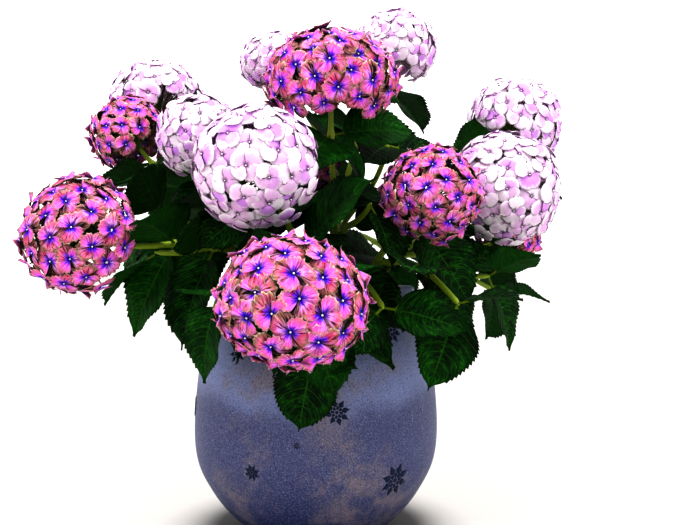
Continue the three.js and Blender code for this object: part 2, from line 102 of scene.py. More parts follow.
# Painted reflection on the glaze, in metres above the ground halfway from front to back: where the
# lighter band that stands in for the reflected bright surroundings begins, where its dark edge line
# is strongest, where it is full and where it is lightest, and how much lower these are for each metre
# to the front
REFLECTION_EDGE, REFLECTION_LINE, REFLECTION_FULL, REFLECTION_BRIGHTEST = 0.195, 0.208, 0.24, 0.36
REFLECTION_SLANT = 0.28

# Compost, as in the CAD model
FIT_GAP = 0.5
COMPOST_DEPTH = 26.0
MOUND = 9.0
COMPOST_RIM = POT_OUTLINE[-1][1] + LIP_BEAD - COMPOST_DEPTH

# Pot and compost where they are finer than the CAD model's: the rounded edge of the foot, as the way
# out from the foot's radius and the height, and how many rings and facets there are
FOOT_EDGE = [(-4, 0), (0, 0.6), (2.5, 2.4)]
WALL_RINGS = 24
COMPOST_RINGS, COMPOST_FACETS = 70, 180

# Canes and their leaves, as in the CAD model
CANE_STEPS = 6
FORK_STEPS = 5
FORK_SWING = 0.45
CANE_ROOT_DEPTH = 16.0
CANE_SPREAD = 250.0
PAIR_SPACING = 80.0
BARE_UNDER_BLOOM, SIZE_UNDER_BLOOM = 32.0, 0.8
BARE_AT_END, SIZE_AT_END = 3.0, 0.62
FULL_SIZE_AT = 130.0
LOWEST_PAIR = 30.0
BARE_FOOT = 70.0
SPREAD_AXIS = (0.0, 110.0)
REACH_OUT = 0.5
REACH_ALONG = 0.2
DROOP = (0.3, 0.65)
LEAF_FACING = 0.75
NATURAL_TURN, NATURAL_ROLL, NATURAL_SIZE = 14.0, 16.0, 0.1
SEARCH_TURN, SEARCH_ROLL, SEARCH_DROOP, SEARCH_SIZE = 75.0, 40.0, 0.5, 0.25
LEAF_TRIES = 30
LEAF_LENGTH = 112.0
LEAF_HALF_WIDTH = 0.4
LEAF_SAG = 0.2
LEAF_FOLD = 0.22
PETIOLE = 17.0
SAME_PLACE = 0.05
SEED = 20
WORD = 0xFFFFFFFF

# Canes and leaves where they are finer than the CAD model's
CANE_RINGS, CANE_SIDES = 44, 12
CANE_AT_FOOT, CANE_AT_FORK, CANE_AT_END = 1.15, 0.9, 0.72  # radius against the look's
SWELLING_HEIGHT, SWELLING_LENGTH = 0.9, 5.0  # where a pair of leaves joins
BUD_LENGTH, WOODY_LENGTH = 9.0, 90.0
LEAF_STALK, STALK_SUNK = 1.7, 0.18  # radius, and how far the stalk is lowered against it
BLADE_COLUMNS = 15
TOOTHED_FROM, TOOTHED_TO = 0.07, 0.84  # share of the blade's length
TOOTH_POINT, MARGIN_WAVE = 0.022, 0.022  # against the blade's length
BLADE_THICKNESS, RIB_THICKNESS = 0.55, 1.5
VEIN_ARCH, VEIN_BEND = 0.26, 1.6  # a side vein is VEIN_ARCH s^VEIN_BEND further on, s beside the midrib

# Blooms, as in the CAD model: centre, radius, height against width, the way it faces, and its colour
CORE_SHARE = 0.5
FACE_DEPTH = 0.7947
GOLDEN_ANGLE = math.pi * (3 - math.sqrt(5))
BLOOMS = {
    "left": ((-258, -190, 388), 68, 1, (-0.75, -0.6, 0.25), "bicolour"),
    "left_high": ((-280, 90, 548), 60, 1, (-0.55, 0.1, 0.75), "bicolour"),
    "top": ((23, -120, 579), 82, 0.78, (0.02, -0.35, 0.94), "bicolour"),
    "front": ((-11, -310, 316), 76, 0.88, (-0.1, -0.98, 0.02), "bicolour"),
    "right": ((145, -130, 440), 61, 1, (0.15, -0.7, 0.65), "bicolour"),
    "middle": ((-25, 10, 492), 55, 1, (0.1, 0.1, 0.98), "bicolour"),
    "right_back_low": ((292, 170, 405), 56, 1, (0.75, 0.35, 0.45), "bicolour"),
    "pale_front": ((-59, -200, 463), 73, 1, (-0.2, -0.85, 0.45), "pale"),
    "pale_left": ((-153, -40, 525), 58, 1, (-0.45, -0.35, 0.8), "pale"),
    "pale_left_back": ((-275, 230, 625), 80, 1, (-0.3, 0.3, 0.88), "pale"),
    "pale_top_left": ((-62, 100, 660), 60, 0.75, (-0.45, 0.05, 0.88), "pale"),
    "pale_top_right": ((114, 110, 686), 64, 0.88, (0.4, -0.1, 0.9), "pale"),
    "pale_right": ((258, 10, 460), 82, 1, (0.5, -0.65, 0.55), "pale"),
    "pale_right_back": ((304, 150, 576), 75, 1, (0.3, 0.2, 0.92), "pale"),
}

# Florets and their stalks
FLORET_ANGLE = 118.0  # degrees that they reach from a bloom's axis, ten more than in the CAD model
MIDDLE_BLOOM = 70.0  # radius of a bloom of middling size
FLORET_DEPTHS = (-0.11, -0.02)  # against the bloom's radius
FLORET_SIZES, SEPAL_SIZES = (0.9, 1.1), (0.94, 1.06)
SEPAL_THICKNESS = 0.35
BEHIND_FLORET = 1.0  # where a stalk ends
BELOW_CORE = 6.0  # where the stalks start, inside the end of the cane
STALK_BUNDLES, STALK_RINGS, STALK_SIDES = 7, 7, 5

# Relief of a sepal against its length: its rise from the middle, the dip of its tucked side, its lean
# to the lapping side, its droop, its belly, the ripple of its rim, the crease down its middle, and
# how much higher every other sepal sits
SEPAL_RISE, SEPAL_TUCK, SEPAL_LEAN, SEPAL_DROOP = 0.09, 0.05, 0.03, 0.08
SEPAL_BELLY, SEPAL_RIPPLE, SEPAL_CREASE, SEPAL_ABOVE = 0.05, 0.04, 0.03, 0.03

# Rows of a sepal, as shares of its length, and number of columns
SEPAL_GRIDS = {
    "bicolour": ([0.08, 0.48, 0.84, 1.0], 13),
    "pale": ([0.08, 0.36, 0.64, 0.88, 1.0], 9),
}

# Stage: metres for sizes and places, degrees for the width of the light on the floor
FLOOR_SIZE = 120.0
FLOOR_LIGHT_ANGLE = 32.0
KEY_SIZE, KEY_PLACE, KEY_AIM = 1.2, (0.0, -0.7, 2.7), (0, 0, 0.35)

# The sepals of a floret in turn: reach, degrees to the tucked and to the lapping side, lift of the
# lapping side and of the rim, hue from magenta (0) by salmon (0.5) to wine (1), and how much painted
# shadow it carries beside the sepal that laps over it, or as a painted shadow line down its own edge
# on a pale floret
SEPALS = {
    "bicolour": [
        (0.92, 62, 50, 0.4, 0.14, 0.0, 0.0),
        (1.05, 72, 62, 0.1, -0.02, 0.4, 1.0),
        (0.9, 60, 56, 0.2, 0.12, 0.1, 0.3),
        (1.06, 68, 66, 0.12, -0.02, 0.85, 0.5),
    ],
    "pale": [
        (1.0, 66, 62, 0.16, -0.02, 0.0, 1.0),
        (0.96, 66, 64, 0.1, -0.05, 0.0, 0.25),
        (1.02, 66, 62, 0.14, -0.02, 0.0, 0.7),
        (0.97, 66, 64, 0.08, -0.05, 0.0, 0.0),
    ],
}


def to_bloom(name, lift, reach, turn, start=0.0, bare=BARE_UNDER_BLOOM, pairs=9):
    """A branch that ends under a bloom."""
    centre, radius, _, faces, _ = BLOOMS[name]
    faces = unit(faces)
    end = np.array(centre) - faces * (radius * CORE_SHARE * FACE_DEPTH + FIT_GAP)
    ages = (BARE_UNDER_BLOOM, SIZE_UNDER_BLOOM)
    return dict(aim=np.array(centre, float), end=end, faces=faces, lift=lift, reach=reach,
                turn=turn, start=start, bare=bare, pairs=pairs, ages=ages, bloom=name)


def to_end(end, faces, start, lift, reach, turn, pairs=9):
    """A branch that ends in leaves."""
    ages = (BARE_AT_END, SIZE_AT_END)
    return dict(aim=np.array(end, float), end=np.array(end, float), faces=unit(faces), lift=lift,
                reach=reach, turn=turn, start=start, bare=BARE_AT_END, pairs=pairs, ages=ages,
                bloom=None)


def unit(vectors):
    """A vector, or each vector of an array, divided by its length."""
    vectors = np.asarray(vectors, float)
    return vectors / np.linalg.norm(vectors, axis=-1, keepdims=True)


# Each cane: where it leaves the compost, then its branches, as in the CAD model
CANES = {
    "cane_front": ((-14, -52), [
        to_bloom("pale_front", 120, 70, 150),
        to_bloom("front", 70, 95, 150, start=0.42),
        to_end((8, -215, 262), (0.1, -0.7, -0.7), 0.3, 95, 75, 60),
        to_end((84, -190, 304), (0.3, -0.7, -0.6), 0.22, 80, 70, 150),
    ]),
    "cane_left": ((-62, -30), [
        to_bloom("left", 150, 90, 150, bare=90.0),
        to_end((-190, -135, 370), (-0.8, -0.4, 0.1), 0.3, 60, 60, 90),
        to_end((-108, -178, 318), (-0.35, -0.6, -0.7), 0.2, 60, 50, 90),
    ]),
    "cane_left_high": ((-50, 16), [
        to_bloom("pale_left", 110, 60, 150),
        to_bloom("left_high", 90, 80, 30, start=0.4),
        to_end((-202, -60, 420), (-0.8, -0.4, 0.3), 0.3, 60, 50, 150),
    ]),
    "cane_left_back": ((-44, 58), [
        to_bloom("pale_left_back", 170, 110, 60, pairs=2),
        to_end((-235, 150, 372), (-0.85, 0.4, -0.2), 0.26, 70, 70, 120),
        to_end((-60, 232, 402), (-0.15, 0.9, 0.2), 0.2, 80, 70, 15),
    ]),
    "cane_top": ((22, -18), [
        to_bloom("top", 130, 100, 60),
        to_bloom("middle", 50, 50, 20, start=0.35),
        to_end((72, -130, 430), (0.35, -0.6, 0.6), 0.3, 60, 60, 10),
    ]),
    "cane_back": ((16, 48), [
        to_bloom("pale_top_right", 180, 120, 60, pairs=2),
        to_bloom("pale_top_left", 90, 90, 0, start=0.4, pairs=2),
        to_end((120, 258, 372), (0.4, 0.85, -0.25), 0.22, 80, 70, 150, pairs=2),
        to_end((98, -10, 522), (0.2, -0.3, 0.9), 0.25, 60, 90, 60, pairs=3),
    ]),
    "cane_right": ((58, -42), [
        to_bloom("right", 130, 60, 0),
        to_end((228, -62, 341), (0.95, -0.1, 0.05), 0.3, 60, 110, 30),
        to_end((172, -176, 308), (0.45, -0.6, -0.6), 0.34, 60, 60, 0),
    ]),
    "cane_right_high": ((70, 10), [
        to_bloom("pale_right", 120, 70, 0),
        to_end((262, 92, 318), (0.85, 0.3, -0.4), 0.36, 60, 70, 60),
    ]),
    "cane_right_back": ((54, 60), [
        to_bloom("pale_right_back", 150, 100, 150, pairs=2),
        to_bloom("right_back_low", 70, 70, 10, start=0.36),
    ]),
}


# Curves


def draw(*keys):
    """A repeatable number from 0 to 1 for a list of whole numbers, by mixing their bits."""
    h = SEED
    for key in keys:
        h = (h ^ (key + 0x9E3779B9)) & WORD
        h = (h * 0x85EBCA6B) & WORD
        h ^= h >> 13
        h = (h * 0xC2B2AE35) & WORD
        h ^= h >> 16
    return h / (WORD + 1)


def spread(amount, *keys):
    """A repeatable number from minus to plus an amount."""
    return amount * (2 * draw(*keys) - 1)


def bezier(control, t):
    """Points of a cubic Bezier curve A, B, C, D: (1-t)^3 A + 3(1-t)^2 t B + 3(1-t) t^2 C + t^3 D."""
    t = np.asarray(t, float)[..., None]
    a, b, c, d = control
    return (1 - t) ** 3 * a + 3 * (1 - t) ** 2 * t * b + 3 * (1 - t) * t ** 2 * c + t ** 3 * d


def even_points(control, shares):
    """A Bezier curve's points at shares of its length, and that length, from 200 short chords."""
    t = np.linspace(0, 1, 201)
    steps = np.linalg.norm(np.diff(bezier(control, t), axis=0), axis=1)
    lengths = np.concatenate([[0], np.cumsum(steps)])
    at = np.interp(np.asarray(shares) * lengths[-1], lengths, t)
    return bezier(control, at), lengths[-1]


def on_chords(control, steps, share):
    """The point and direction of the CAD tube's straight-sided middle line at a share of it."""
    stations, _ = even_points(control, np.linspace(0, 1, steps + 1))
    at = min(max(share, 0), 0.999) * steps
    i = int(at)
    start, end = stations[i], stations[i + 1]
    return start + (end - start) * (at - i), unit(end - start)


def branch_curve(branch, root, direction):
    """The four control points of a branch that leaves root in one direction and ends in another."""
    end = branch["end"]
    return (root, root + direction * branch["lift"], end - branch["faces"] * branch["reach"], end)


def cane_shoots(number, foot, branches):
    """A cane's branches with their curves: the first from the compost, the others forking off it."""
    upright = unit((foot[0] / CANE_SPREAD, foot[1] / CANE_SPREAD, 1))
    root = np.array((*foot, COMPOST_RIM + MOUND - CANE_ROOT_DEPTH), float)
    first = branch_curve(branches[0], root, upright)
    shoots = []
    for b, branch in enumerate(branches):
        control = first
        if b:
            point, direction = on_chords(first, CANE_STEPS, branch["start"])
            aim = unit(branch["aim"] - point)
            leaving = unit(direction + (aim - direction) * FORK_SWING)
            control = branch_curve(branch, point, leaving)
        shoots.append(dict(branch=branch, control=control, steps=FORK_STEPS if b else CANE_STEPS,
                           key=number * 8 + b, lowest=LOWEST_PAIR if b else BARE_FOOT, first=not b))
    return shoots


def leaf_pose(shoot, share, grown, angle, key, attempt):
    """Where and how a leaf stands in one of its possible positions, as in the CAD model."""
    root, along = on_chords(shoot["control"], shoot["steps"], share)
    stray = attempt / LEAF_TRIES
    turn = angle + spread(NATURAL_TURN, key, 1) + spread(SEARCH_TURN * stray, key, attempt, 2)
    roll = spread(NATURAL_ROLL, key, 3) + spread(SEARCH_ROLL * stray, key, attempt, 4)
    droop = DROOP[0] + (DROOP[1] - DROOP[0]) * draw(key, 5)
    droop += spread(SEARCH_DROOP * stray, key, attempt, 6)
    size = LEAF_LENGTH * grown * (1 + spread(NATURAL_SIZE, key, 7)) * (1 - SEARCH_SIZE * stray)
    turn, roll = math.radians(turn), math.radians(roll)

    across = unit(np.cross((0, 1, 0), along))
    beside = np.cross(along, across)
    outward = unit((root[0] - SPREAD_AXIS[0], root[1] - SPREAD_AXIS[1], 0))
    direction = unit(across * math.cos(turn) + beside * math.sin(turn) + outward * REACH_OUT
                     + along * REACH_ALONG - np.array((0, 0, droop)))
    up = np.array((0, 0, 1)) + outward * LEAF_FACING
    up = unit(up - direction * (up @ direction))
    up = up * math.cos(roll) + np.cross(direction, up) * math.sin(roll)
    centre, _ = even_points(shoot["control"], [share])
    return dict(root=root, direction=direction, up=up, right=np.cross(direction, up), size=size,
                cane=centre[0], key=key)


def shoot_leaves(shoot, corners):
    """The leaves of a shoot: of each leaf's possible positions, the one whose tip is a corner of
    the CAD cane, or none."""
    branch = shoot["branch"]
    bare, young = branch["ages"]
    _, length = even_points(shoot["control"], [0])
    fitting = math.ceil((length - shoot["lowest"] - branch["bare"]) / PAIR_SPACING)
    leaves = []
    for pair in range(min(fitting, branch["pairs"])):
        from_end = branch["bare"] + pair * PAIR_SPACING
        grown = young + (1 - young) * min(1, (from_end - bare) / FULL_SIZE_AT)
        for side in (0, 1):
            key = (shoot["key"] * 16 + pair) * 2 + side
            angle = branch["turn"] + 90 * pair + 180 * side
            for attempt in range(LEAF_TRIES):
                pose = leaf_pose(shoot, 1 - from_end / length, grown, angle, key, attempt)
                tip = pose["root"] + pose["direction"] * (PETIOLE + pose["size"])
                tip = tip - pose["up"] * LEAF_SAG * pose["size"]
                if np.abs(corners - tip).max(axis=1).min() < SAME_PLACE:
                    leaves.append({**pose, "share": 1 - from_end / length})
                    break
    return leaves


# Surfaces


def stand(name, data, place=(0, 0, 0), turn=(0, 0, 0)):
    """A new object with this mesh, light or camera, in the scene at a place and turned."""
    made = bpy.data.objects.new(name, data)
    made.location, made.rotation_euler = place, turn
    bpy.context.scene.collection.objects.link(made)
    return made


class Surface:
    """The points, faces and values of one mesh, gathered from several surfaces."""

    def __init__(self):
        self.points, self.faces, self.values, self.count = [], [], [], 0

    def add(self, points, faces, values):
        """Takes (N, 3) points, a list of (M, 3) or (M, 4) corner arrays, and the value arrays."""
        self.points.append(points)
        self.faces += [f + self.count for f in faces]
        self.values.append(values)
        self.count += len(points)

    def make(self, name, material, slot, replaced=()):
        """The mesh as an object that rides on the frame, in metres, with smooth shading."""
        mesh = bpy.data.meshes.new(name)
        mesh.vertices.add(self.count)
        mesh.vertices.foreach_set("co", (np.concatenate(self.points) * MM).ravel())
        corners = np.concatenate([f.ravel() for f in self.faces])
        sizes = np.concatenate([np.full(len(f), f.shape[1]) for f in self.faces])
        mesh.loops.add(len(corners))
        mesh.loops.foreach_set("vertex_index", corners)
        mesh.polygons.add(len(sizes))
        mesh.polygons.foreach_set("loop_start", np.concatenate([[0], np.cumsum(sizes)[:-1]]))
        mesh.polygons.foreach_set("use_smooth", np.ones(len(sizes), bool))
        for key in self.values[0]:
            layer = mesh.attributes.new(key, "FLOAT", "POINT")
            values = np.concatenate([v[key].ravel() for v in self.values]).astype(np.float32)
            layer.data.foreach_set("value", values)
        mesh.update(calc_edges=True)
        if mesh.validate():
            raise RuntimeError(f"{name} has a broken face")
        mesh.materials.append(material)
        made = stand(name, mesh)
        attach(made, BODY)
        if replaced:
            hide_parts(*replaced)
        return made


def sheet(front, back, **values):
    """Closed sheets from two grids of points (copies, rows, columns, 3): both share the outline of
    the front one. Columns times rows points out of the front. Values are (copies, rows, columns)."""
    copies, rows, columns = front.shape[:3]
    outer = np.arange(rows * columns).reshape(rows, columns)
    inner = outer.copy()
    inner[1:-1, 1:-1] = rows * columns + np.arange((rows - 2) * (columns - 2)).reshape(rows - 2, -1)
    quads = []
    for grid, order in ((outer, (0, 1, 3, 2)), (inner, (2, 3, 1, 0))):
        corners = (grid[:-1, :-1], grid[:-1, 1:], grid[1:, :-1], grid[1:, 1:])
        quads.append(np.stack([corners[k] for k in order], axis=-1).reshape(-1, 4))
    quads = np.concatenate(quads)
    inside = (slice(None), slice(1, -1), slice(1, -1))
    points = np.concatenate([front.reshape(copies, -1, 3), back[inside].reshape(copies, -1, 3)], 1)
    offsets = np.arange(copies)[:, None, None] * points.shape[1]
    whole = {"under": np.zeros(front.shape[:3]), **values}
    flat = {}
    for key, value in whole.items():
        value = np.broadcast_to(value, front.shape[:3])
        behind = np.ones_like(value[inside]) if key == "under" else value[inside]
        flat[key] = np.concatenate([value.reshape(copies, -1), behind.reshape(copies, -1)], 1)
    return points.reshape(-1, 3), [(quads[None] + offsets).reshape(-1, 4)], flat


def rings(circles, first, last, **values):
    """Closed surfaces through rings of points (copies, rings, corners, 3), with a point at each
    end. Each ring runs anticlockwise as seen from the last. Values are (copies, rings)."""
    copies, count, sides = circles.shape[:3]
    grid = np.arange(count * sides).reshape(count, sides)
    after = np.roll(grid, -1, axis=1)
    quads = np.stack([grid[:-1], after[:-1], after[1:], grid[1:]], axis=-1).reshape(-1, 4)
    ends = count * sides
    caps = np.concatenate([
        np.stack([np.full(sides, ends), after[0], grid[0]], axis=-1),
        np.stack([np.full(sides, ends + 1), grid[-1], after[-1]], axis=-1),
    ])
    points = np.concatenate([circles.reshape(copies, -1, 3), first[:, None], last[:, None]], 1)
    offsets = np.arange(copies)[:, None, None] * points.shape[1]
    flat = {}
    for key, value in values.items():
        value = np.broadcast_to(value, (copies, count))
        round_it = np.repeat(value, sides, axis=1)
        flat[key] = np.concatenate([round_it, value[:, :1], value[:, -1:]], 1)
    faces = [(part[None] + offsets).reshape(-1, part.shape[1]) for part in (quads, caps)]
    return points.reshape(-1, 3), faces, flat


def tubes(paths, radii, sides, **values):
    """Round tubes along paths (copies, points, 3): at each point a circle of that radius, square
    to the path, in a frame that keeps one side towards a fixed direction."""
    tangents = unit(np.gradient(paths, axis=1))
    overall = unit(paths[:, -1] - paths[:, 0])
    guide = np.where(np.abs(overall[:, 2:]) < 0.8, [[0, 0, 1.0]], [[1.0, 0, 0]])[:, None]
    beside = unit(np.cross(tangents, guide))
    above = np.cross(beside, tangents)
    angles = np.linspace(0, 2 * np.pi, sides, endpoint=False)
    circle = np.cos(angles)[:, None] * above[:, :, None] + np.sin(angles)[:, None] * beside[:, :, None]
    circles = paths[:, :, None] + circle * radii[:, :, None, None]
    cap = unit(paths[:, 1] - paths[:, 0]) * radii[:, :1] * 0.4
    tip = unit(paths[:, -1] - paths[:, -2]) * radii[:, -1:] * 0.4
    return rings(circles, paths[:, 0] - cap, paths[:, -1] + tip, **values)


def turned(profile, sides, **values):
    """A closed surface of revolution: each (radius, height) of the profile carries a ring round
    the upright axis, where it starts and ends."""
    radius, height = np.array(profile[1:-1], float).T
    angles = np.linspace(0, 2 * np.pi, sides, endpoint=False)
    circles = np.stack([
        radius[:, None] * np.cos(angles),
        radius[:, None] * np.sin(angles),
        np.repeat(height[:, None], sides, axis=1),
    ], axis=-1)
    ends = [np.array([[0, 0, profile[k][1]]], float) for k in (0, -1)]
    return rings(circles[None], *ends, **values)


def rounded(a, b):
    """A square grid from -1 to 1 pinched into a round: (a sqrt(1 - b^2/2), b sqrt(1 - a^2/2))."""
    return a * np.sqrt(1 - b ** 2 / 2), b * np.sqrt(1 - a ** 2 / 2)


def ruffle(x, y, seed):
    """A smooth uneven field from -1 to 1: the mean of five sine waves of drawn headings."""
    total = 0
    for k in range(5):
        heading = 2 * np.pi * draw(seed, k, 1)
        total = total + np.sin(
            (1 + 0.45 * k) * (x * np.cos(heading) + y * np.sin(heading)) + 7 * draw(seed, k, 2)
        )
    return total / 5


# Pot and compost


def outline(t):
    """The pot's outline at shares of it: a Catmull-Rom curve through POT_OUTLINE, whose slope at
    a point is half the step between its neighbours."""
    points = np.array(POT_OUTLINE, float)
    last = len(points) - 1
    at = np.clip(np.asarray(t, float) * last, 0, last - 1e-9)
    i = at.astype(int)
    w = (at - i)[:, None]
    before, here = points[np.maximum(i - 1, 0)], points[i]
    there, beyond = points[i + 1], points[np.minimum(i + 2, last)]
    slope, slope_on = (there - before) / 2, (beyond - here) / 2
    return ((2 * here - 2 * there + slope + slope_on) * w ** 3
            + (3 * there - 3 * here - 2 * slope - slope_on) * w ** 2 + slope * w + here)


def inner_wall(steps):
    """The inside of the pot from the floor's edge up: the outline moved in by the wall."""
    t = np.linspace(1 / steps, 1, steps)
    along = unit(outline(t + 1e-4) - outline(t - 1e-4))
    inside = outline(t) + np.stack([-along[:, 1], along[:, 0]], axis=-1) * WALL
    return [(FLOOR_RADIUS, FLOOR_HEIGHT), *map(tuple, inside)]


def pot_surface(look):
    """The pot: its outline, a half-round lip and its inside, turned; the wall swells and dips a
    little by a smooth uneven field of angle and height."""
    outside = list(map(tuple, outline(np.linspace(0, 1, look.rings))))
    lip_radius, lip_height = POT_OUTLINE[-1]
    lip = [
        (lip_radius - LIP_BEAD + LIP_BEAD * math.cos(a), lip_height + LIP_BEAD * math.sin(a))
        for a in np.linspace(0, math.pi, 10)[1:-1]
    ]
    foot = [(FOOT_RADIUS + out, height) for out, height in FOOT_EDGE]
    profile = [(0, 0), *foot, *outside, *lip, *reversed(inner_wall(WALL_RINGS)), (0, FLOOR_HEIGHT)]
    points, faces, values = turned(profile, look.facets)
    angle, height = np.arctan2(points[:, 1], points[:, 0]), points[:, 2]
    sway = np.sin(np.clip(height / lip_height, 0, 1) * np.pi)
    uneven = look.uneven / MM * sway * ruffle(3 * np.cos(angle) + height / 60, 3 * np.sin(angle), 50)
    points[:, :2] *= (1 + uneven / np.maximum(np.hypot(*points[:, :2].T), 1))[:, None]
    return points, faces, values


def wall_point(angle, height, lift):
    """Points on the pot's outside, raised off it: angle in radians round from the front."""
    curve = outline(np.linspace(0, 1, 200))
    radius = np.interp(height, curve[:, 1], curve[:, 0]) + lift
    return np.stack([radius * np.sin(angle), -radius * np.cos(angle), height], axis=-1)


def stamp_surface(look):
    """The stamped rosettes: each has kite-shaped petals, smaller ovals between its middle and
    them, and a round middle. A square grid (a, b) is pinched into each, laid on the pot's wall."""
    a, b = np.meshgrid(np.linspace(-1, 1, 5), np.linspace(-1, 1, 5), indexing="ij")
    round_a, round_b = rounded(a, b)
    kite_a, kite_b = (a + b) / 2, (a - b) / 2
    kite_a = kite_a - KITE_POINT * (1 - kite_a ** 2)
    swell = np.clip(1 - np.maximum(np.abs(a), np.abs(b)), 0, 1) ** 0.5
    shapes = [(0.0, STAMP_MIDDLE, round_a, round_b)]
    for k in range(STAMP_PETALS):
        turn = 2 * math.pi * k / STAMP_PETALS
        shapes.append((turn, STAMP_KITE, kite_a, kite_b))
        shapes.append((turn + math.pi / STAMP_PETALS, STAMP_OVAL, round_a, round_b))
    surface = Surface()
    for number, (degrees, height, width) in enumerate(STAMPS):
        half = width / 2
        lean = 2 * math.pi * draw(number, 90)
        for turn, (out, long, broad), along, aside in shapes:
            cos, sin = math.cos(turn + lean), math.sin(turn + lean)
            along, aside = out + along * long, aside * broad
            x = (along * cos - aside * sin) * half
            z = (along * sin + aside * cos) * half + height
            radius = np.hypot(*wall_point(0, np.array([height]), 0)[0, :2])
            angle = math.radians(degrees) + x / radius
            front = wall_point(angle, z, STAMP_RISE + look.stamp_lift / MM * swell)
            back = wall_point(angle, z, -STAMP_SINK)
            surface.add(*sheet(front[None], back[None]))
    return surface


def compost_surface(look):
    """The compost: a mound inside the pot's wall, its top roughened by uneven fields of three
    sizes, closed by its side and underneath."""
    wall = [(r, z) for r, z in inner_wall(WALL_RINGS) if z < COMPOST_RIM]
    side = [(r - FIT_GAP, z) for r, z in wall[1:]]
    rim = side[-1][0]
    mound = [(rim * share, COMPOST_RIM + MOUND * (1 - share ** 2))
             for share in np.linspace(0.99, 0.02, COMPOST_RINGS)]
    profile = [(0, FLOOR_HEIGHT + FIT_GAP), (FLOOR_RADIUS - FIT_GAP, FLOOR_HEIGHT + FIT_GAP), *side,
               *mound, (0, COMPOST_RIM + MOUND)]
    points, faces, values = turned(profile, COMPOST_FACETS)
    x, y = points[:, 0], points[:, 1]
    crumb = (1.4 * ruffle(x / 14, y / 14, 61) + 1.5 * np.abs(ruffle(x / 4.5, y / 4.5, 62))
             + 1.3 * np.abs(ruffle(x / 1.9, y / 1.9, 63)))
    top = points[:, 2] > COMPOST_RIM + 0.01
    points[top, 2] += (look.crumb / MM * crumb)[top]
    return points, faces, values


# Canes and leaves


def cane_surface(shoots, look):
    """The canes of one plant stem: round tubes on their Bezier curves that taper upwards, with a
    swelling where each pair of leaves joins. One that ends in leaves runs out to a bud."""
    surface = Surface()
    shares = np.linspace(0, 1, CANE_RINGS)
    for shoot in shoots:
        path, length = even_points(shoot["control"], shares)
        base = look.cane_radius / MM * (CANE_AT_FOOT if shoot["first"] else CANE_AT_FORK)
        top = look.cane_radius / MM * CANE_AT_END
        radius = base + (top - base) * shares
        for leaf in shoot["leaves"]:
            away = (shares - leaf["share"]) * length / SWELLING_LENGTH
            radius = radius + SWELLING_HEIGHT * np.exp(-(away ** 2))
        if not shoot["branch"]["bloom"]:
            radius = radius * np.clip((1 - shares) * length / BUD_LENGTH, 0.12, 1) ** 0.7
        age = np.clip(1 - shares * length / WOODY_LENGTH, 0, 1) * shoot["first"]
        surface.add(*tubes(path[None], radius[None], CANE_SIDES, age=age[None]))
    return surface


def blade_width(t):
    """Half the width of a blade at t: a round body, sin(pi (t/0.93)^0.72)^0.62, and a narrow drip
    tip, 0.17 (1-t)^0.8."""
    body = np.sin(np.pi * np.clip(t / 0.93, 0, 1) ** 0.72) ** 0.62
    return np.hypot(body, 0.17 * (1 - t) ** 0.8)


def leaf_rows(teeth):
    """The rows of a blade, as t and tooth height: three rows to each tooth, notch, flank, peak."""
    step = (TOOTHED_TO - TOOTHED_FROM) / teeth
    t = (TOOTHED_FROM + step * (np.arange(teeth)[:, None] + np.array([0, 0.45, 0.85]))).ravel()
    tooth = np.tile([0, 0.5, 1.0], teeth)
    t = np.concatenate([[0.006, 0.025, 0.048], t, [TOOTHED_TO, 0.88, 0.92, 0.96, 0.985, 0.999]])
    return t, np.concatenate([[0, 0, 0], tooth, np.zeros(6)])


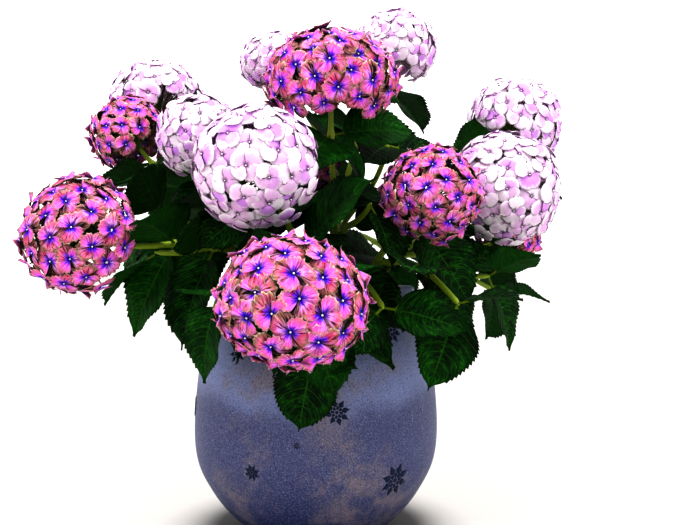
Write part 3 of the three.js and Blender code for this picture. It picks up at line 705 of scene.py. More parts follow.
def leaf_surface(leaves, look):
    """Leaves as closed sheets on the CAD model's poses. At t along a blade and s across it, from
    -1 to 1: the outline is the blade's width with forward-pointing teeth; the surface sags as
    t squared, folds up from the midrib as |s|, dips along the midrib and along side veins that
    arch forward as |s|^1.6, and waves at its margin. The stalk is a round section below it."""
    t, tooth = leaf_rows(look.teeth)
    s = np.linspace(-1, 1, BLADE_COLUMNS)
    t, s, tooth = t[None, :, None], s[None, None, :], tooth[None, :, None]
    root, direction, up, right, cane, size = (
        np.array([leaf[key] for leaf in leaves])[:, None, None]
        for key in ("root", "direction", "up", "right", "cane", "size")
    )
    size = size * look.growth
    seed = np.array([draw(leaf["key"], 30) for leaf in leaves])[:, None, None]

    edge = np.abs(s) ** 5 * tooth
    half = size * LEAF_HALF_WIDTH
    v = s * np.maximum(blade_width(t), 0.9 / half) * (1 + look.tooth_depth * edge)
    forward = size * (t + TOOTH_POINT * edge)
    fold = LEAF_FOLD * half * (np.sqrt(v ** 2 + 0.0025) - 0.05)
    vein = look.veins * (t - VEIN_ARCH * np.abs(s) ** VEIN_BEND)
    crease = np.abs((vein % 1) - 0.5) * 2
    ends = np.sin(np.pi * np.clip(t, 0, 1)) ** 0.3
    relief = look.vein_depth / MM * ((1 - crease ** 2.2) * (1 - np.abs(s) ** 6) * ends)
    relief = relief - look.vein_depth / MM * 1.3 * np.exp(-((s / 0.07) ** 2))
    wave = MARGIN_WAVE * size * np.abs(s) ** 3 * np.sin(2 * np.pi * (2.3 * t + seed) + s * 1.5)
    height = -LEAF_SAG * size * t ** 2 + fold + relief + wave
    thickness = BLADE_THICKNESS + RIB_THICKNESS * np.exp(-((s / 0.1) ** 2)) * (1 - 0.7 * t)

    blade = (root + direction * (PETIOLE + forward)[..., None] + right * (v * half)[..., None]
             + up * height[..., None])
    under = blade - up * thickness[..., None]

    stalk_share = np.array([0, 0.3, 0.6, 0.85])[None, :, None]
    base = root + direction * (PETIOLE + size * 0.006)[..., None]
    line = cane + (base - cane) * stalk_share[..., None]
    around = LEAF_STALK * np.sqrt(1 - s ** 2)
    level = line + right * (s * LEAF_STALK)[..., None] - up * (LEAF_STALK * STALK_SUNK)
    stalk, stalk_under = level + up * (around * 0.5)[..., None], level - up * around[..., None]

    rows = np.concatenate([np.zeros(4), t[0, :, 0]])[None, :, None]
    across = np.broadcast_to(s, (1, rows.shape[1], s.shape[2]))
    on_blade = (np.arange(rows.shape[1]) >= 4).astype(float)[None, :, None]
    return sheet(
        np.concatenate([stalk, blade], 1), np.concatenate([stalk_under, under], 1),
        along=rows, across=across * 0.5 + 0.5, blade=on_blade, tint=seed,
    )


# Blooms


def dome_points(faces, count, number):
    """Places on a dome by the golden angle, each with the same area, as vectors of length 1: place i
    of n is at cos = 1 - (1 - cos F)(i + 0.5)/n from the bloom's axis, where F is FLORET_ANGLE."""
    i = np.arange(count)
    cosine = 1 - (1 - math.cos(math.radians(FLORET_ANGLE))) * (i + 0.5) / count
    sine = np.sqrt(1 - cosine ** 2)
    angle = i * GOLDEN_ANGLE + 2 * np.pi * draw(number, 70)
    axis = unit(faces)
    side = unit(np.cross(axis, (0.3, 0.9, 0.2)))
    other = np.cross(axis, side)
    return (side * (sine * np.cos(angle))[:, None] + other * (sine * np.sin(angle))[:, None]
            + axis * cosine[:, None])


def drawn(shape, low, high, *keys):
    """An array of repeatable random numbers between two values."""
    seed = int(draw(*keys) * WORD)
    return np.random.default_rng(seed).uniform(low, high, shape)


def floret_surface(bloom, number, look):
    """The florets of a bloom. A sepal at u out from the floret's middle and v across it, from 1 to
    -1, lies at the distance u L cos(f)^0.45 in the direction f = v F w(u), where w(u) is
    sin(pi (0.14 + 0.58 u))^0.6 and F differs on its two sides. Its v = 1 side rises by curl v^2 and
    laps over the next sepal; its rim turns up or down as u^3, and the whole droops with the dome.
    L, F, curl and rim are those of SEPALS."""
    centre, radius, height, faces, colour = bloom
    toothed = colour == "bicolour"
    sepals = np.array(SEPALS[colour]).T[:, None, :, None, None]
    # The last column, fold, is how much painted shadow a sepal carries
    reach, before, after, curl, rim, hue, fold = sepals
    count = round((look.florets if toothed else look.florets_pale) * radius / MIDDLE_BLOOM)
    dome = 1 - math.cos(math.radians(FLORET_ANGLE))
    spacing = math.sqrt(2 * math.pi * dome / count) * radius
    dome_point = dome_points(faces, count, number)
    flattened = np.array((1, 1, height))
    normal = unit(dome_point / flattened)
    scatter = drawn((count, 3), -1, 1, number, 71)
    tilted = unit(normal + scatter * look.tilt)
    depth = drawn((count, 1), *FLORET_DEPTHS, number, 72) * radius
    at = np.array(centre) + dome_point * flattened * (radius + depth)
    x_axis = unit(np.cross((0.4, 0.3, 0.87), tilted))
    y_axis = np.cross(tilted, x_axis)
    spin = drawn((count, 1, 1, 1), 0, 2 * np.pi, number, 73)
    spread = look.spread if toothed else look.spread_pale
    size = spacing * spread * drawn((count, 1, 1, 1), *FLORET_SIZES, number, 74)

    rows, columns = SEPAL_GRIDS[colour]
    each = (count, len(SEPALS[colour]), 1, 1)
    order = np.arange(each[1])[None, :, None, None]
    u = np.array(rows)[None, None, :, None]
    v = np.linspace(1, -1, columns)[None, None, None, :]
    turn = spin + order * np.pi / 2 + drawn(each, -0.1, 0.1, number, 75)
    length = size * reach * drawn(each, *SEPAL_SIZES, number, 76)
    angle = v * np.radians(np.where(v > 0, after, before)) * np.sin(np.pi * (0.14 + 0.58 * u)) ** 0.6
    jag = drawn((*each[:3], columns), -1, 1, number, 77) * u ** 6
    zigzag = (-1.0) ** np.arange(columns)[None, None, None, :] * u ** 8
    margin = np.cos(angle) ** 0.45 * (1 - 0.1 * np.abs(v) ** 6)
    margin = margin * (1 + (0.04 * jag + 0.045 * zigzag if toothed else 0.015 * jag))
    out = u * length * margin
    x, y = out * np.cos(angle + turn), out * np.sin(angle + turn)
    wave = drawn(each, 0, 2 * np.pi, number, 78)
    lapping, tucked = np.maximum(v, 0) ** 2, np.maximum(-v, 0) ** 2
    z = length * (
        SEPAL_RISE * np.sqrt(u) + look.cup * curl * u * lapping - SEPAL_TUCK * u * tucked
        + SEPAL_LEAN * u * v + rim * u ** 3 - SEPAL_DROOP * u ** 2
        + SEPAL_BELLY * np.sin(np.pi * u) * (1 - v ** 2) + SEPAL_RIPPLE * u ** 3 * np.sin(6 * v + wave)
        - SEPAL_CREASE * np.exp(-((v / 0.16) ** 2)) * u * (1 - u) + SEPAL_ABOVE * (order % 2 == 0)
    )
    z = z - out ** 2 / (2 * radius)

    def place(x, y, z):
        """Floret coordinates as points of the model."""
        extra = (slice(None),) + (None,) * (x.ndim - 1)
        return (at[extra] + x[..., None] * x_axis[extra] + y[..., None] * y_axis[extra]
                + z[..., None] * tilted[extra])

    front, back = place(x, y, z), place(x, y, z - SEPAL_THICKNESS)
    shape = (each[0] * each[1], *front.shape[2:4])
    values = dict(
        along=u, across=v * 0.5 + 0.5, bead=np.zeros(each), fold=fold,
        tint=drawn(each, 0, 1, number, 80),
        hue=np.clip(hue + drawn(each, -0.1, 0.1, number, 79), 0, 1),
    )
    values = {key: np.broadcast_to(a, front.shape[:4]).reshape(shape) for key, a in values.items()}
    surface = Surface()
    surface.add(*sheet(front.reshape(*shape, 3), back.reshape(*shape, 3), **values))

    a, b = np.meshgrid(np.linspace(1, -1, 5), np.linspace(-1, 1, 5), indexing="ij")
    ring_x, ring_y = rounded(a, b)
    swell = np.sqrt(np.clip(1 - ring_x ** 2 - ring_y ** 2, 0, 1))
    bead, rise = size[:, 0] * look.bead, size[:, 0] * 0.07
    bead_front = place(bead * ring_x, bead * ring_y, rise + bead * swell)
    bead_back = place(bead * ring_x, bead * ring_y, rise - bead * swell)
    surface.add(*sheet(
        bead_front, bead_back, along=0.0, across=0.5, bead=1.0, fold=0.0, tint=0.5, hue=0.0,
    ))
    return surface, at - normal * BEHIND_FLORET, normal


def stalk_surface(bloom, tops, normals, number, look):
    """A bloom's stalks: cubic curves that leave the cane's end along its direction, gather in
    seven bundles, and part to meet each floret from behind, thinning on the way."""
    centre, radius, _, faces, _ = bloom
    axis = unit(faces)
    hub = np.array(centre) - axis * (radius * CORE_SHARE * FACE_DEPTH + BELOW_CORE)
    bundles = dome_points(faces, STALK_BUNDLES, number + 100)
    nearest = bundles[np.argmax(normals @ bundles.T, axis=1)]
    joint = np.array(centre) + nearest * radius * 0.1
    t = np.linspace(0, 1, STALK_RINGS)[None, :]
    start = np.broadcast_to(hub, tops.shape)
    control = [c[:, None] for c in (start, (start + joint) / 2 + axis * radius * 0.1,
                                    joint + normals * radius * 0.3, tops)]
    paths = bezier(control, t)
    radii = look.stalk_radius / MM * (1.6 - 0.85 * t) * np.ones((len(tops), 1))
    surface = Surface()
    surface.add(*tubes(paths, radii, STALK_SIDES))
    return surface


# Materials


def linear(red, green, blue):
    """A colour given in 0 to 255 screen values, as the linear values that Blender takes."""
    return tuple(
        c / 12.92 if c <= 0.04045 else ((c + 0.055) / 1.055) ** 2.4
        for c in (red / 255, green / 255, blue / 255)
    )


class Wire:
    """What a node puts out. Sums of wires and numbers add nodes to the same material."""

    def __init__(self, paint, made, output=0):
        self.paint, self.socket = paint, made.outputs[output]

    def __add__(self, other):
        return self.paint.maths("ADD", self, other)

    def __sub__(self, other):
        return self.paint.maths("SUBTRACT", self, other)

    def __rsub__(self, other):
        return self.paint.maths("SUBTRACT", other, self)

    def __mul__(self, other):
        return self.paint.maths("MULTIPLY", self, other)

    def __pow__(self, other):
        return self.paint.maths("POWER", self, other)

    def __abs__(self):
        return self.paint.maths("ABSOLUTE", self)


class Paint:
    """A material's node tree and short calls that add nodes to it."""

    def __init__(self, name, roughness, **constants):
        self.material = bpy.data.materials.new(name)
        self.material.use_nodes = True
        self.tree = self.material.node_tree
        self.surface = self.tree.nodes["Principled BSDF"]
        for key, value in {"Roughness": roughness, **constants}.items():
            self.surface.inputs[key.replace("_", " ")].default_value = value

    def give(self, socket, value):
        """Links a wire to a socket, or sets the socket to a number or colour."""
        if isinstance(value, Wire):
            self.tree.links.new(value.socket, socket)
        elif hasattr(value, "__len__") and socket.type == "RGBA":
            socket.default_value = (*tuple(value)[:3], 1)
        else:
            socket.default_value = value

    def node(self, kind, settings=(), **inputs):
        """A new node with its settings, and its inputs by name."""
        made = self.tree.nodes.new("ShaderNode" + kind)
        for key, value in dict(settings).items():
            setattr(made, key, value)
        for key, value in inputs.items():
            self.give(made.inputs[key.replace("_", " ")], value)
        return made

    def value(self, name):
        """A value of the mesh's points."""
        return Wire(self, self.node("Attribute", {"attribute_name": name}), "Fac")

    def place(self):
        """Object coordinates, in metres."""
        return Wire(self, self.node("TexCoord"), "Object")

    def stretch(self, place, scale, turn=(0.0, 0.0, 0.0)):
        """Coordinates scaled along each axis and turned."""
        return Wire(self, self.node("Mapping", Vector=place, Scale=scale, Rotation=turn))

    def maths(self, operation, *values):
        """One sum of numbers or wires."""
        made = self.node("Math", {"operation": operation})
        for socket, value in zip(made.inputs, values):
            self.give(socket, value)
        return Wire(self, made)

    def noise(self, vector, scale, detail=3.0, roughness=0.55):
        """Smooth noise from 0 to 1."""
        made = self.node("TexNoise", Vector=vector, Scale=scale, Detail=detail, Roughness=roughness)
        return Wire(self, made, "Fac")

    def grain(self, x, y, z, *settings):
        """Noise in a space of three wires."""
        return self.noise(Wire(self, self.node("CombineXYZ", X=x, Y=y, Z=z)), *settings)

    def stray(self, factor, noise, amount):
        """A factor moved up or down by noise, by up to half an amount."""
        return factor + (noise - 0.5) * amount

    def step(self, factor, low, high):
        """0 below one value of the factor, 1 above another, and smooth between."""
        made = self.node("MapRange", {"interpolation_type": "SMOOTHSTEP"},
                         Value=factor, From_Min=low, From_Max=high)
        return Wire(self, made, "Result")

    def fade(self, factor, low, high):
        """1 below one value of the factor, 0 above another, and smooth between."""
        return 1.0 - self.step(factor, low, high)

    def ramp(self, factor, stops):
        """A colour that follows (position, colour) stops."""
        made = self.node("ValToRGB", Fac=factor)
        elements = made.color_ramp.elements
        while len(elements) < len(stops):
            elements.new(0.5)
        for element, (position, colour) in zip(elements, stops):
            element.position = position
            element.color = (*colour, 1)
        return Wire(self, made, "Color")

    def layers(self, colour, *coats):
        """A colour with coats over it, each given as how far it covers and its colour."""
        for cover, coat in coats:
            made = self.node("Mix", {"data_type": "RGBA"})
            for index, value in ((0, cover), (6, colour), (7, coat)):
                self.give(made.inputs[index], value)
            colour = Wire(self, made, 2)
        return colour

    def finish(self, colour, roughness=None, height=None, depth=0.001):
        """Gives the surface its colour, its roughness and the small relief of its skin."""
        self.give(self.surface.inputs["Base Color"], colour)
        if roughness is not None:
            self.give(self.surface.inputs["Roughness"], roughness)
        if height is not None:
            bump = self.node("Bump", Height=height, Distance=depth, Strength=1.0)
            self.give(self.surface.inputs["Normal"], Wire(self, bump))
        return self.material


def glaze_paint(look):
    """Blue-grey glaze, with painted shade that darkens it towards the foot and a painted reflection of
    the bright surroundings that lightens it above a dark-edged line slanting down to the front:
    grained, pitted, rubbed brown in patches, with hair scratches."""
    paint = Paint("speckled_glaze", 0.5, Coat_Weight=0.15, Coat_Roughness=0.25, Specular_IOR_Level=0.2)
    place = paint.place()
    parts = paint.node("SeparateXYZ", Vector=place)
    cloud = paint.noise(place, 11.0, 5.0)
    level = paint.stray(Wire(paint, parts, "Z"), cloud, 0.05)
    reflection_level = level - Wire(paint, parts, "Y") * REFLECTION_SLANT
    # The dark line along the lower edge of the painted reflection
    line = paint.step(reflection_level, REFLECTION_EDGE, REFLECTION_LINE) * paint.fade(reflection_level, REFLECTION_LINE, 0.222)
    rub = paint.noise(place, 9.0, 8.0, 0.7)
    grain = paint.noise(place, 620.0, 3.0, 0.8)
    scratch = paint.noise(paint.stretch(place, (90.0, 90.0, 8.0), (0.3, 0.5, 0.0)), 1.6, 4.0, 0.6)
    colour = paint.layers(
        # Painted shade: the glaze darkens towards the foot and rises into the body glaze
        look.dark_glaze_and_foot_shade,
        (paint.step(level, 0.02, 0.14), look.glaze_deep),
        # Painted reflection of the bright surroundings, lighter up the wall above the slanting line,
        # edged below by the dark painted line
        (paint.step(reflection_level, REFLECTION_EDGE, REFLECTION_FULL), look.glaze),
        (paint.step(reflection_level, REFLECTION_FULL, REFLECTION_BRIGHTEST), look.painted_reflection_glaze),
        (line * 0.45, look.glaze_deep),
        (paint.step(rub, 0.48, 0.66) * 0.75, look.rubbed),
        (paint.step(grain, 0.5, 0.68) * 0.6, look.speckle),
        (paint.fade(grain, 0.34, 0.48) * 0.8, look.dark_glaze_and_foot_shade),
        (paint.step(scratch, 0.7, 0.72) * 0.5, look.scratch),
    )
    return paint.finish(colour, cloud * 0.25 + 0.38, grain, 0.00015)


def stamp_paint(look):
    """The darker glaze that has run into the stamps."""
    paint = Paint("stamp_glaze", 0.5, Coat_Weight=0.1, Coat_Roughness=0.25, Specular_IOR_Level=0.15)
    cloud = paint.step(paint.noise(paint.place(), 420.0, 3.0, 0.7), 0.4, 0.8)
    return paint.finish(paint.layers(look.stamp, (cloud * 0.5, look.dark_glaze_and_foot_shade)))


def compost_paint(look):
    """Dark crumbs with a few pale fibres."""
    paint = Paint("crumbly_compost", 0.95)
    place = paint.place()
    grain = paint.noise(place, 260.0, 6.0, 0.7)
    fleck = paint.noise(place, 480.0, 1.0)
    colour = paint.layers(look.dark, (paint.step(grain, 0.3, 0.7), look.light),
                          (paint.step(fleck, 0.74, 0.78), look.fleck))
    return paint.finish(colour, height=grain, depth=0.0012)


def cane_paint(look):
    """Olive green stems, browner and woody low down, with small pale lengthwise marks."""
    paint = Paint("cane_skin", 0.5)
    place = paint.place()
    age = paint.value("age") + paint.noise(place, 30.0) * 0.5
    streak = paint.noise(paint.stretch(place, (700.0, 700.0, 180.0)), 1.0, 2.0)
    colour = paint.layers(look.young, (paint.step(age, 0.55, 1.2), look.woody),
                          (paint.step(streak, 0.62, 0.72) * 0.4, look.mark))
    return paint.finish(colour, height=streak, depth=0.0003)


def leaf_paint(look):
    """Deep green with lighter patches, streaked lighter and darker along the arching side veins and
    between them as painted light and shade of the puckered blade, with a light midrib, and paler
    underneath."""
    paint = Paint("leaf_skin", 0.6, Specular_IOR_Level=0.08)
    along, across, tint = (paint.value(name) for name in ("along", "across", "tint"))
    side = abs(across * 2.0 - 1.0)
    level = along - side ** VEIN_BEND * VEIN_ARCH
    from_vein = abs(paint.maths("FRACT", level * float(look.veins)) - 0.5)
    vein = paint.maths("MAXIMUM", paint.fade(side, 0.01, 0.05), paint.step(from_vein, 0.41, 0.49) * 0.7)
    streak = paint.grain(level * 44.0, side * 4.5, tint * 61.0, 1.0, 4.0, 0.75)
    patch = paint.noise(paint.place(), 34.0, 5.0, 0.65)
    tone = patch * 0.6 + tint * 0.25 + streak * 0.6
    # Light and dark streaks along the vein arcs are painted light and shade of the puckered blade
    painted_light_streak = paint.step(streak, 0.53, 0.64) * paint.step(patch, 0.35, 0.6)
    colour = paint.layers(
        look.shade,
        (paint.step(tone, 0.58, 0.88), look.leaf),
        (painted_light_streak * 0.8, look.streak),
        (paint.fade(streak, 0.38, 0.47) * 0.8, look.shade),
        (vein * 0.4, look.vein),
        (paint.value("under") * 0.4, look.under),
        (1.0 - paint.value("blade"), look.stalk),
    )
    return paint.finish(colour, height=streak - vein, depth=0.0006)


def bicolour_paint(look):
    """Toothed sepals: violet-blue in the middle, run out in rays. By hue they go through magenta to
    pink, through light violet to salmon, or through dark red to olive brown, with red and cream
    blotches. On the side that is tucked under the next sepal some carry a painted shadow, an olive band
    that deepens to near black. Fine dark rays, partly the sepal's own streaks and partly painted shade
    of its creases, and fine pale rays run through the middle; the underside is painted dark as shade,
    and the rims are cream."""
    paint = Paint("sepal_bicolour", 0.55, Specular_IOR_Level=0.12)
    u, v, hue, tint, fold = (paint.value(name) for name in ("along", "across", "hue", "tint", "fold"))
    rays = paint.grain(v * 9.0, u * 0.7, tint * 37.0, 1.0, 3.0, 0.65)
    fine = paint.grain(v * 16.0, u * 1.3, tint * 53.0, 1.0, 2.0, 0.6)
    blotch = paint.noise(paint.place(), 150.0, 3.0, 0.6)
    out, across = paint.stray(u, rays, 0.8), paint.stray(v, fine, 0.9)
    magenta, salmon, wine = (
        paint.ramp(out, [(0.0, look.heart), (heart, look.heart), (ray, look.ray), *stops])
        for heart, ray, stops in (
            (0.22, 0.34, [(0.46, look.magenta), (0.74, look.pink), (0.95, look.salmon)]),
            (0.16, 0.28, [(0.42, look.light_ray), (0.58, look.pink), (0.78, look.salmon)]),
            (0.24, 0.36, [(0.46, look.wine), (0.7, look.salmon), (0.92, look.olive)]),
        )
    )
    red = paint.step(blotch, 0.52, 0.62) * paint.step(u, 0.4, 0.7) * (hue * 0.4 + 0.2)
    cream = paint.fade(blotch, 0.34, 0.44) * paint.step(u, 0.6, 0.85)
    middle = paint.step(u, 0.08, 0.28) * paint.fade(u, 0.7, 0.96)
    # Dark rays: partly the sepal's own streaks, partly painted shade of its radial creases
    dark_ray_and_crease_shade = paint.fade(fine, 0.39, 0.44) * (middle * paint.step(hue, -0.3, 0.7))
    pale_ray = paint.step(fine, 0.55, 0.6) * middle * paint.fade(hue, 0.6, 1.3)
    # Painted shadow, near black, on the tucked side under the sepal that laps over it
    dark = paint.fade(across, 0.22, 0.44) * fold * paint.fade(paint.stray(u, fine, 0.9), 0.62, 0.92)
    colour = paint.layers(
        magenta,
        (paint.step(hue, 0.18, 0.4), salmon),
        (paint.step(hue, 0.6, 0.85), wine),
        (red, look.wine),
        (cream * 0.5, look.edge),
        # Painted shadow under the lapping sepal: an olive band that deepens to near black
        (paint.fade(across, 0.34, 0.6) * fold * 0.85, look.olive),
        (dark_ray_and_crease_shade * 0.9, look.dark_ray_and_crease_shade),
        (pale_ray * 0.6, look.light_ray),
        (dark, look.painted_lap_shadow),
        (paint.step(paint.stray(u, fine, 0.2), 0.91, 0.99) * 0.85, look.edge),
        (paint.step(v, 0.93, 0.985) * 0.5, look.light_ray),
        # The dark brown underside is painted shade, for the dark seen between florets
        (paint.value("under") * 0.7, look.back),
        (paint.value("bead"), look.bead_tone),
    )
    return paint.finish(colour, height=rays, depth=0.0006)


def pale_paint(look):
    """Smooth sepals: white at the margin, tinted lilac inside it, some more than others, with fine
    rays, a dark lilac ring round the bead and a dark lilac painted shadow line down the lapping edge."""
    paint = Paint("sepal_pale", 0.6, Specular_IOR_Level=0.12)
    u, v, fold, tint = (paint.value(name) for name in ("along", "across", "fold", "tint"))
    rays = paint.grain(v * 9.0, u * 0.7, tint * 31.0, 1.2, 3.0, 0.6)
    inside = paint.fade(paint.stray(u, rays, 0.4), 0.6, 0.98)
    colour = paint.layers(
        look.white,
        (paint.step(tint, 0.0, 0.6) * inside, look.lilac),
        (paint.step(tint, 0.7, 0.95) * inside, look.violet),
        (paint.fade(u, 0.08, 0.16) * 0.7, look.deep_lilac),
        # Painted shadow line down the lapping edge, where the sepal lies over the next
        (paint.step(v, 0.93, 0.975) * fold * paint.fade(u, 0.5, 0.9), look.lap_shadow_line),
        (paint.value("under") * 0.5, look.lilac),
        (paint.value("bead"), look.bead_tone),
    )
    return paint.finish(colour, height=rays, depth=0.0003)


def stalk_paint(look):
    """Flower stalks: green, yellower in places."""
    paint = Paint("flower_stalk", 0.5)
    patch = paint.noise(paint.place(), 60.0)
    return paint.finish(paint.layers(look.stalk, (patch, look.stalk_light)))


# Sizes and colours


def distance(name, description, default):
    """A length that a user can change, in metres."""
    return FloatProperty(name=name, description=description, default=default, min=0.0,
                         subtype="DISTANCE", unit="LENGTH", precision=5)


def share(name, description, default, high=1.0):
    """A proportion that a user can change."""
    return FloatProperty(name=name, description=description, default=default, min=0.0, max=high,
                         subtype="FACTOR")


def number(name, description, default, low, high):
    """A whole number that a user can change."""
    return IntProperty(name=name, description=description, default=default, min=low, max=high)


def tone(name, description, *screen):
    """A colour that a user can change, from 0 to 255 screen values."""
    return FloatVectorProperty(name=name, description=description, default=linear(*screen), size=3,
                               min=0.0, max=1.0, subtype="COLOR")


class HydrangeaPot(bpy.types.PropertyGroup):
    """The glazed pot."""

    rings: number("Rings", "Rings of faces up the outside of the pot", 90, 12, 200)
    facets: number("Facets", "Faces round the pot", 160, 24, 360)
    uneven: distance("Unevenness", "How far the thrown wall strays from true", 0.0009)
    stamp_lift: distance("Stamp lift", "How far the glaze stands up in a stamp", 0.0005)
    # Light glaze and Glaze paint a reflection of the bright surroundings on the upper wall
    painted_reflection_glaze: tone("Light glaze", "The second dip of the glaze towards the lip", 156, 166, 200)
    glaze: tone("Glaze", "The second dip of the glaze", 134, 144, 184)
    glaze_deep: tone("Deep glaze", "The first dip of the glaze", 84, 88, 124)
    # Foot glaze is painted shade towards the foot, and also the dark glaze in pits and stamps
    dark_glaze_and_foot_shade: tone("Foot glaze", "The deepest glaze, near the foot", 40, 50, 96)
    speckle: tone("Speckle", "Fine pale specks", 158, 162, 190)
    scratch: tone("Scratch", "Pale scratches", 190, 186, 196)
    rubbed: tone("Rubbed", "Brown patches where the glaze is rubbed", 140, 126, 128)
    stamp: tone("Stamp", "The glaze in the stamps", 22, 40, 68)


class HydrangeaCompost(bpy.types.PropertyGroup):
    """The compost."""

    crumb: distance("Crumb", "Height of the crumbs", 0.0018)
    dark: tone("Dark", "Damp crumbs", 22, 14, 9)
    light: tone("Light", "Drier crumbs", 62, 43, 29)
    fleck: tone("Fleck", "Pale fibres", 150, 128, 96)


class HydrangeaCanes(bpy.types.PropertyGroup):
    """The canes."""

    cane_radius: distance("Radius", "Radius of a cane at its foot", 0.0046)
    young: tone("Young", "Green stems", 150, 176, 44)
    woody: tone("Woody", "Old stems near the compost", 104, 86, 52)
    mark: tone("Marks", "Small marks on the skin", 140, 150, 70)


class HydrangeaLeaves(bpy.types.PropertyGroup):
    """The leaves."""

    teeth: number("Teeth", "Teeth on each side of a leaf", 15, 6, 24)
    veins: number("Side veins", "Side veins over the length of a leaf", 8, 4, 14)
    tooth_depth: share("Tooth depth", "Depth of a tooth against the half width", 0.075)
    vein_depth: distance("Vein depth", "How far the blade puckers between its veins", 0.0011)
    growth: share("Growth", "Size of the blades against the CAD model's", 1.18, 1.3)
    leaf: tone("Leaf", "Lit green of the blade", 16, 78, 10)
    shade: tone("Shade", "Deep green of the blade", 1, 26, 4)
    streak: tone("Streaks", "Light streaks beside the side veins", 50, 136, 24)
    vein: tone("Vein", "Midrib and side veins", 70, 140, 36)
    under: tone("Underside", "The paler underside", 40, 100, 30)
    stalk: tone("Stalk", "The leaf stalk", 122, 150, 34)


class HydrangeaBlooms(bpy.types.PropertyGroup):
    """The blooms."""

    florets: number("Florets", "Florets in a toothed bloom of middling size", 54, 12, 80)
    florets_pale: number("Pale florets", "Florets in a pale bloom of middling size", 54, 12, 80)
    spread: share("Spread", "Reach of a two-tone sepal against the spacing of florets", 0.63)
    spread_pale: share("Pale spread", "Reach of a pale sepal against the spacing of florets", 0.65)
    tilt: share("Tilt", "How far a floret leans from the dome", 0.14)
    cup: share("Cup", "How far the lapping sides of the sepals turn up", 1.0, 2.0)
    bead: share("Bead", "Radius of a floret's middle against its sepals' reach", 0.055)
    stalk_radius: distance("Stalk radius", "Radius of a flower stalk", 0.0009)
    heart: tone("Heart", "Violet-blue middle of a two-tone floret", 70, 8, 244)
    ray: tone("Rays", "Violet rays", 164, 60, 232)
    magenta: tone("Magenta", "Inner half of a magenta sepal", 242, 112, 240)
    pink: tone("Pink", "Middle of a two-tone sepal", 240, 126, 206)
    salmon: tone("Salmon", "Outer part of a two-tone sepal", 238, 134, 166)
    wine: tone("Wine", "Dark red of the streaked sepal", 206, 52, 112)
    olive: tone("Olive", "Brown-green outer part", 158, 120, 92)
    light_ray: tone("Light rays", "Pale rays", 238, 184, 246)
    # Dark rays are partly painted shade of the sepals' creases
    dark_ray_and_crease_shade: tone("Dark rays", "Dark streaks", 92, 16, 60)
    # Fold is the painted shadow under a lapping sepal
    painted_lap_shadow: tone("Fold", "The dark fold under a lapping sepal", 14, 8, 8)
    edge: tone("Edge", "Cream edge of a two-tone sepal", 250, 228, 204)
    # Back is painted shade, for the dark seen between florets
    back: tone("Back", "Underside of a two-tone sepal", 96, 58, 54)
    white: tone("White", "Margin of pale sepals", 255, 244, 255)
    lilac: tone("Lilac", "Inside of pale sepals", 240, 198, 240)
    violet: tone("Violet", "Inside of the deeper pale sepals", 226, 164, 246)
    deep_lilac: tone("Deep lilac", "Ring round the bead of pale florets", 186, 132, 190)
    # Lapping line is a painted shadow line
    lap_shadow_line: tone("Lapping line", "The dark line along a pale sepal's lapping edge", 160, 100, 156)
    bead_tone: tone("Bead colour", "The bead in a floret's middle", 250, 246, 255)
    stalk: tone("Stalk", "Flower stalks", 70, 98, 18)
    stalk_light: tone("Light stalk", "Yellower stalks", 110, 128, 28)


class HydrangeaStage(bpy.types.PropertyGroup):
    """The floor, the lights and the camera."""

    floor: tone("Floor", "The plain floor", 112, 110, 108)
    sky: tone("Surroundings", "The plain light all round", 255, 255, 255)
    sky_strength: FloatProperty(name="Surroundings strength", default=1.5, min=0.0,
                                description="Strength of the light all round")
    key_power: FloatProperty(name="Key power", description="Power of the large soft light",
                             default=40.0, min=0.0, unit="POWER")
    floor_light: FloatProperty(name="Floor light", default=14.5, min=0.0,
                               description="Strength of the light on the floor alone")
    contrast: FloatProperty(name="Contrast", description="Gamma of the view", default=0.7,
                            min=0.4, max=1.5)
    camera_place: FloatVectorProperty(name="Camera", description="Where the camera stands", size=3,
                                      default=(0.046, -1.1, 0.346), subtype="TRANSLATION",
                                      unit="LENGTH")
    camera_pitch: FloatProperty(name="Pitch", description="The camera's tilt from level",
                                default=math.radians(0.68), subtype="ANGLE", unit="ROTATION")
    lens: FloatProperty(name="Lens", description="Focal length", default=41.14, min=10.0,
                        unit="CAMERA")


LOOKS = {
    "pot": HydrangeaPot, "compost": HydrangeaCompost, "canes": HydrangeaCanes,
    "leaves": HydrangeaLeaves, "blooms": HydrangeaBlooms, "stage": HydrangeaStage,
}


# Operators


def plant():
    """Every cane's shoots, with the leaves that the CAD model has."""
    stems = {}
    for number, (name, (foot, branches)) in enumerate(CANES.items()):
        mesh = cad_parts[name].data
        corners = np.empty(len(mesh.vertices) * 3, np.float32)
        mesh.vertices.foreach_get("co", corners)
        corners = corners.reshape(-1, 3) / MM
        stems[name] = cane_shoots(number, foot, branches)
        for shoot in stems[name]:
            shoot["leaves"] = shoot_leaves(shoot, corners)
    return stems


class HYDRANGEA_OT_pot(bpy.types.Operator):
    """Turn the glazed pot and lay the glaze in its stamps"""

    bl_idname = "hydrangea.pot"
    bl_label = "Pot"

    def execute(self, context):
        look = context.scene.hydrangea_pot
        surface = Surface()
        surface.add(*pot_surface(look))
        surface.make("pot_glazed", glaze_paint(look), "glaze", ["pot"])
        stamp_surface(look).make("pot_stamps", stamp_paint(look), "glaze")
        return {"FINISHED"}


class HYDRANGEA_OT_compost(bpy.types.Operator):
    """Fill the pot with crumbly compost"""

    bl_idname = "hydrangea.compost"
    bl_label = "Compost"

    def execute(self, context):
        look = context.scene.hydrangea_compost
        surface = Surface()
        surface.add(*compost_surface(look))
        surface.make("compost_crumbly", compost_paint(look), "compost", ["compost"])
        return {"FINISHED"}


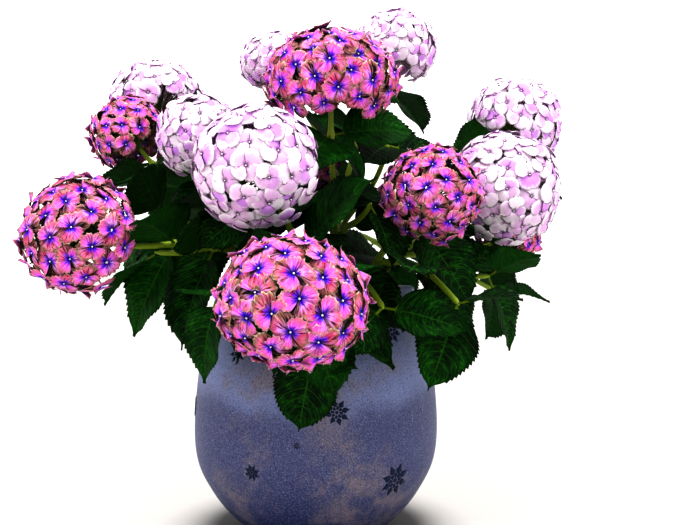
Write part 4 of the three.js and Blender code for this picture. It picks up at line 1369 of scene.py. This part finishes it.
class HYDRANGEA_OT_canes(bpy.types.Operator):
    """Grow the canes on the CAD model's curves"""

    bl_idname = "hydrangea.canes"
    bl_label = "Canes"

    def execute(self, context):
        look = context.scene.hydrangea_canes
        paint = cane_paint(look)
        for name, shoots in plant().items():
            cane_surface(shoots, look).make(f"{name}_wood", paint, "foliage", [name])
        return {"FINISHED"}


class HYDRANGEA_OT_leaves(bpy.types.Operator):
    """Grow a veined, toothed leaf on each of the CAD model's leaf stalks"""

    bl_idname = "hydrangea.leaves"
    bl_label = "Leaves"

    def execute(self, context):
        look = context.scene.hydrangea_leaves
        paint = leaf_paint(look)
        for name, shoots in plant().items():
            leaves = [leaf for shoot in shoots for leaf in shoot["leaves"]]
            if not leaves:
                raise RuntimeError(f"no leaf of {name} was found in the CAD model")
            surface = Surface()
            surface.add(*leaf_surface(leaves, look))
            surface.make(f"{name}_leaves", paint, "foliage", [name])
        return {"FINISHED"}


class HYDRANGEA_OT_blooms(bpy.types.Operator):
    """Set florets and their stalks on the dome of every bloom"""

    bl_idname = "hydrangea.blooms"
    bl_label = "Blooms"

    def execute(self, context):
        look = context.scene.hydrangea_blooms
        paints = {"bicolour": bicolour_paint(look), "pale": pale_paint(look)}
        green = stalk_paint(look)
        for number, (name, bloom) in enumerate(BLOOMS.items()):
            colour = bloom[-1]
            surface, tops, normals = floret_surface(bloom, number, look)
            surface.make(f"bloom_{name}_florets", paints[colour], f"petals_{colour}",
                         [f"bloom_{name}"])
            stalks = stalk_surface(bloom, tops, normals, number, look)
            stalks.make(f"bloom_{name}_stalks", green, "foliage")
        return {"FINISHED"}


def flat_sheet(name, size, material):
    """A square on the ground whose sides have a length."""
    half = size / 2
    mesh = bpy.data.meshes.new(name)
    mesh.from_pydata([(-half, -half, 0), (half, -half, 0), (half, half, 0), (-half, half, 0)], [],
                     [(0, 1, 2, 3)])
    mesh.materials.append(material)
    made = stand(name, mesh)
    return made


def light_for(name, strength, lit, shading):
    """A soft light from straight above that falls on one object and that one other shades."""
    light = bpy.data.lights.new(name, "SUN")
    light.energy, light.angle = strength, math.radians(FLOOR_LIGHT_ANGLE)
    made = stand(name, light)
    for key, piece in (("receiver_collection", lit), ("blocker_collection", shading)):
        group = bpy.data.collections.new(f"{name}_{key}")
        group.objects.link(piece)
        setattr(made.light_linking, key, group)


def soft_light(name, power, size, place, aim):
    """A square area light at a place, turned to an aim."""
    light = bpy.data.lights.new(name, "AREA")
    light.energy, light.shape, light.size = power, "SQUARE", size
    heading = np.array(aim, float) - np.array(place, float)
    flat = math.hypot(heading[0], heading[1])
    turn = (math.atan2(flat, -heading[2]), 0, math.atan2(-heading[0], heading[1]))
    stand(name, light, place, turn)


class HYDRANGEA_OT_stage(bpy.types.Operator):
    """Lay the floor, light the plant softly and stand the camera"""

    bl_idname = "hydrangea.stage"
    bl_label = "Stage"

    def execute(self, context):
        scene = context.scene
        look = scene.hydrangea_stage
        paint = Paint("plain_floor", 0.9)
        floor = flat_sheet("floor", FLOOR_SIZE, paint.finish(look.floor))
        light_for("floor_light", look.floor_light, floor, bpy.data.objects["pot_glazed"])

        world = bpy.data.worlds.new("surroundings")
        world.use_nodes = True
        background = world.node_tree.nodes["Background"]
        background.inputs["Color"].default_value = (*look.sky, 1)
        background.inputs["Strength"].default_value = look.sky_strength
        scene.world = world
        soft_light("key", look.key_power, KEY_SIZE, KEY_PLACE, KEY_AIM)

        camera = bpy.data.cameras.new("camera")
        camera.sensor_width, camera.lens, camera.clip_end = 36.0, look.lens, 200.0
        turn = (math.pi / 2 + look.camera_pitch, 0, 0)
        scene.camera = stand("camera", camera, look.camera_place, turn)
        scene.view_settings.view_transform = "Standard"
        scene.view_settings.gamma = look.contrast
        return {"FINISHED"}


OPERATORS = (
    HYDRANGEA_OT_pot, HYDRANGEA_OT_compost, HYDRANGEA_OT_canes, HYDRANGEA_OT_leaves,
    HYDRANGEA_OT_blooms, HYDRANGEA_OT_stage,
)


class HYDRANGEA_PT_panel(bpy.types.Panel):
    """The pieces of the potted hydrangea, with their sizes and colours"""

    bl_label = "Potted hydrangea"
    bl_idname = "HYDRANGEA_PT_panel"
    bl_space_type = "VIEW_3D"
    bl_region_type = "UI"
    bl_category = "Hydrangea"

    def draw(self, context):
        for operator in OPERATORS:
            part = operator.bl_idname.split(".")[1]
            box = self.layout.box()
            box.operator(operator.bl_idname)
            look = getattr(context.scene, f"hydrangea_{part}")
            for key in LOOKS[part].__annotations__:
                box.prop(look, key)


CLASSES = (*LOOKS.values(), *OPERATORS, HYDRANGEA_PT_panel)


def register():
    """Registers the classes and gives each scene its sizes and colours."""
    for kind in CLASSES:
        bpy.utils.register_class(kind)
    for part, kind in LOOKS.items():
        setattr(bpy.types.Scene, f"hydrangea_{part}", PointerProperty(type=kind))


def unregister():
    """Takes away what register adds."""
    for part in LOOKS:
        delattr(bpy.types.Scene, f"hydrangea_{part}")
    for kind in reversed(CLASSES):
        bpy.utils.unregister_class(kind)


def main():
    """Builds every piece round the frame."""
    register()
    bpy.ops.hydrangea.pot()
    bpy.ops.hydrangea.compost()
    bpy.ops.hydrangea.canes()
    bpy.ops.hydrangea.leaves()
    bpy.ops.hydrangea.blooms()
    bpy.ops.hydrangea.stage()


if __name__ == "__main__":
    main()
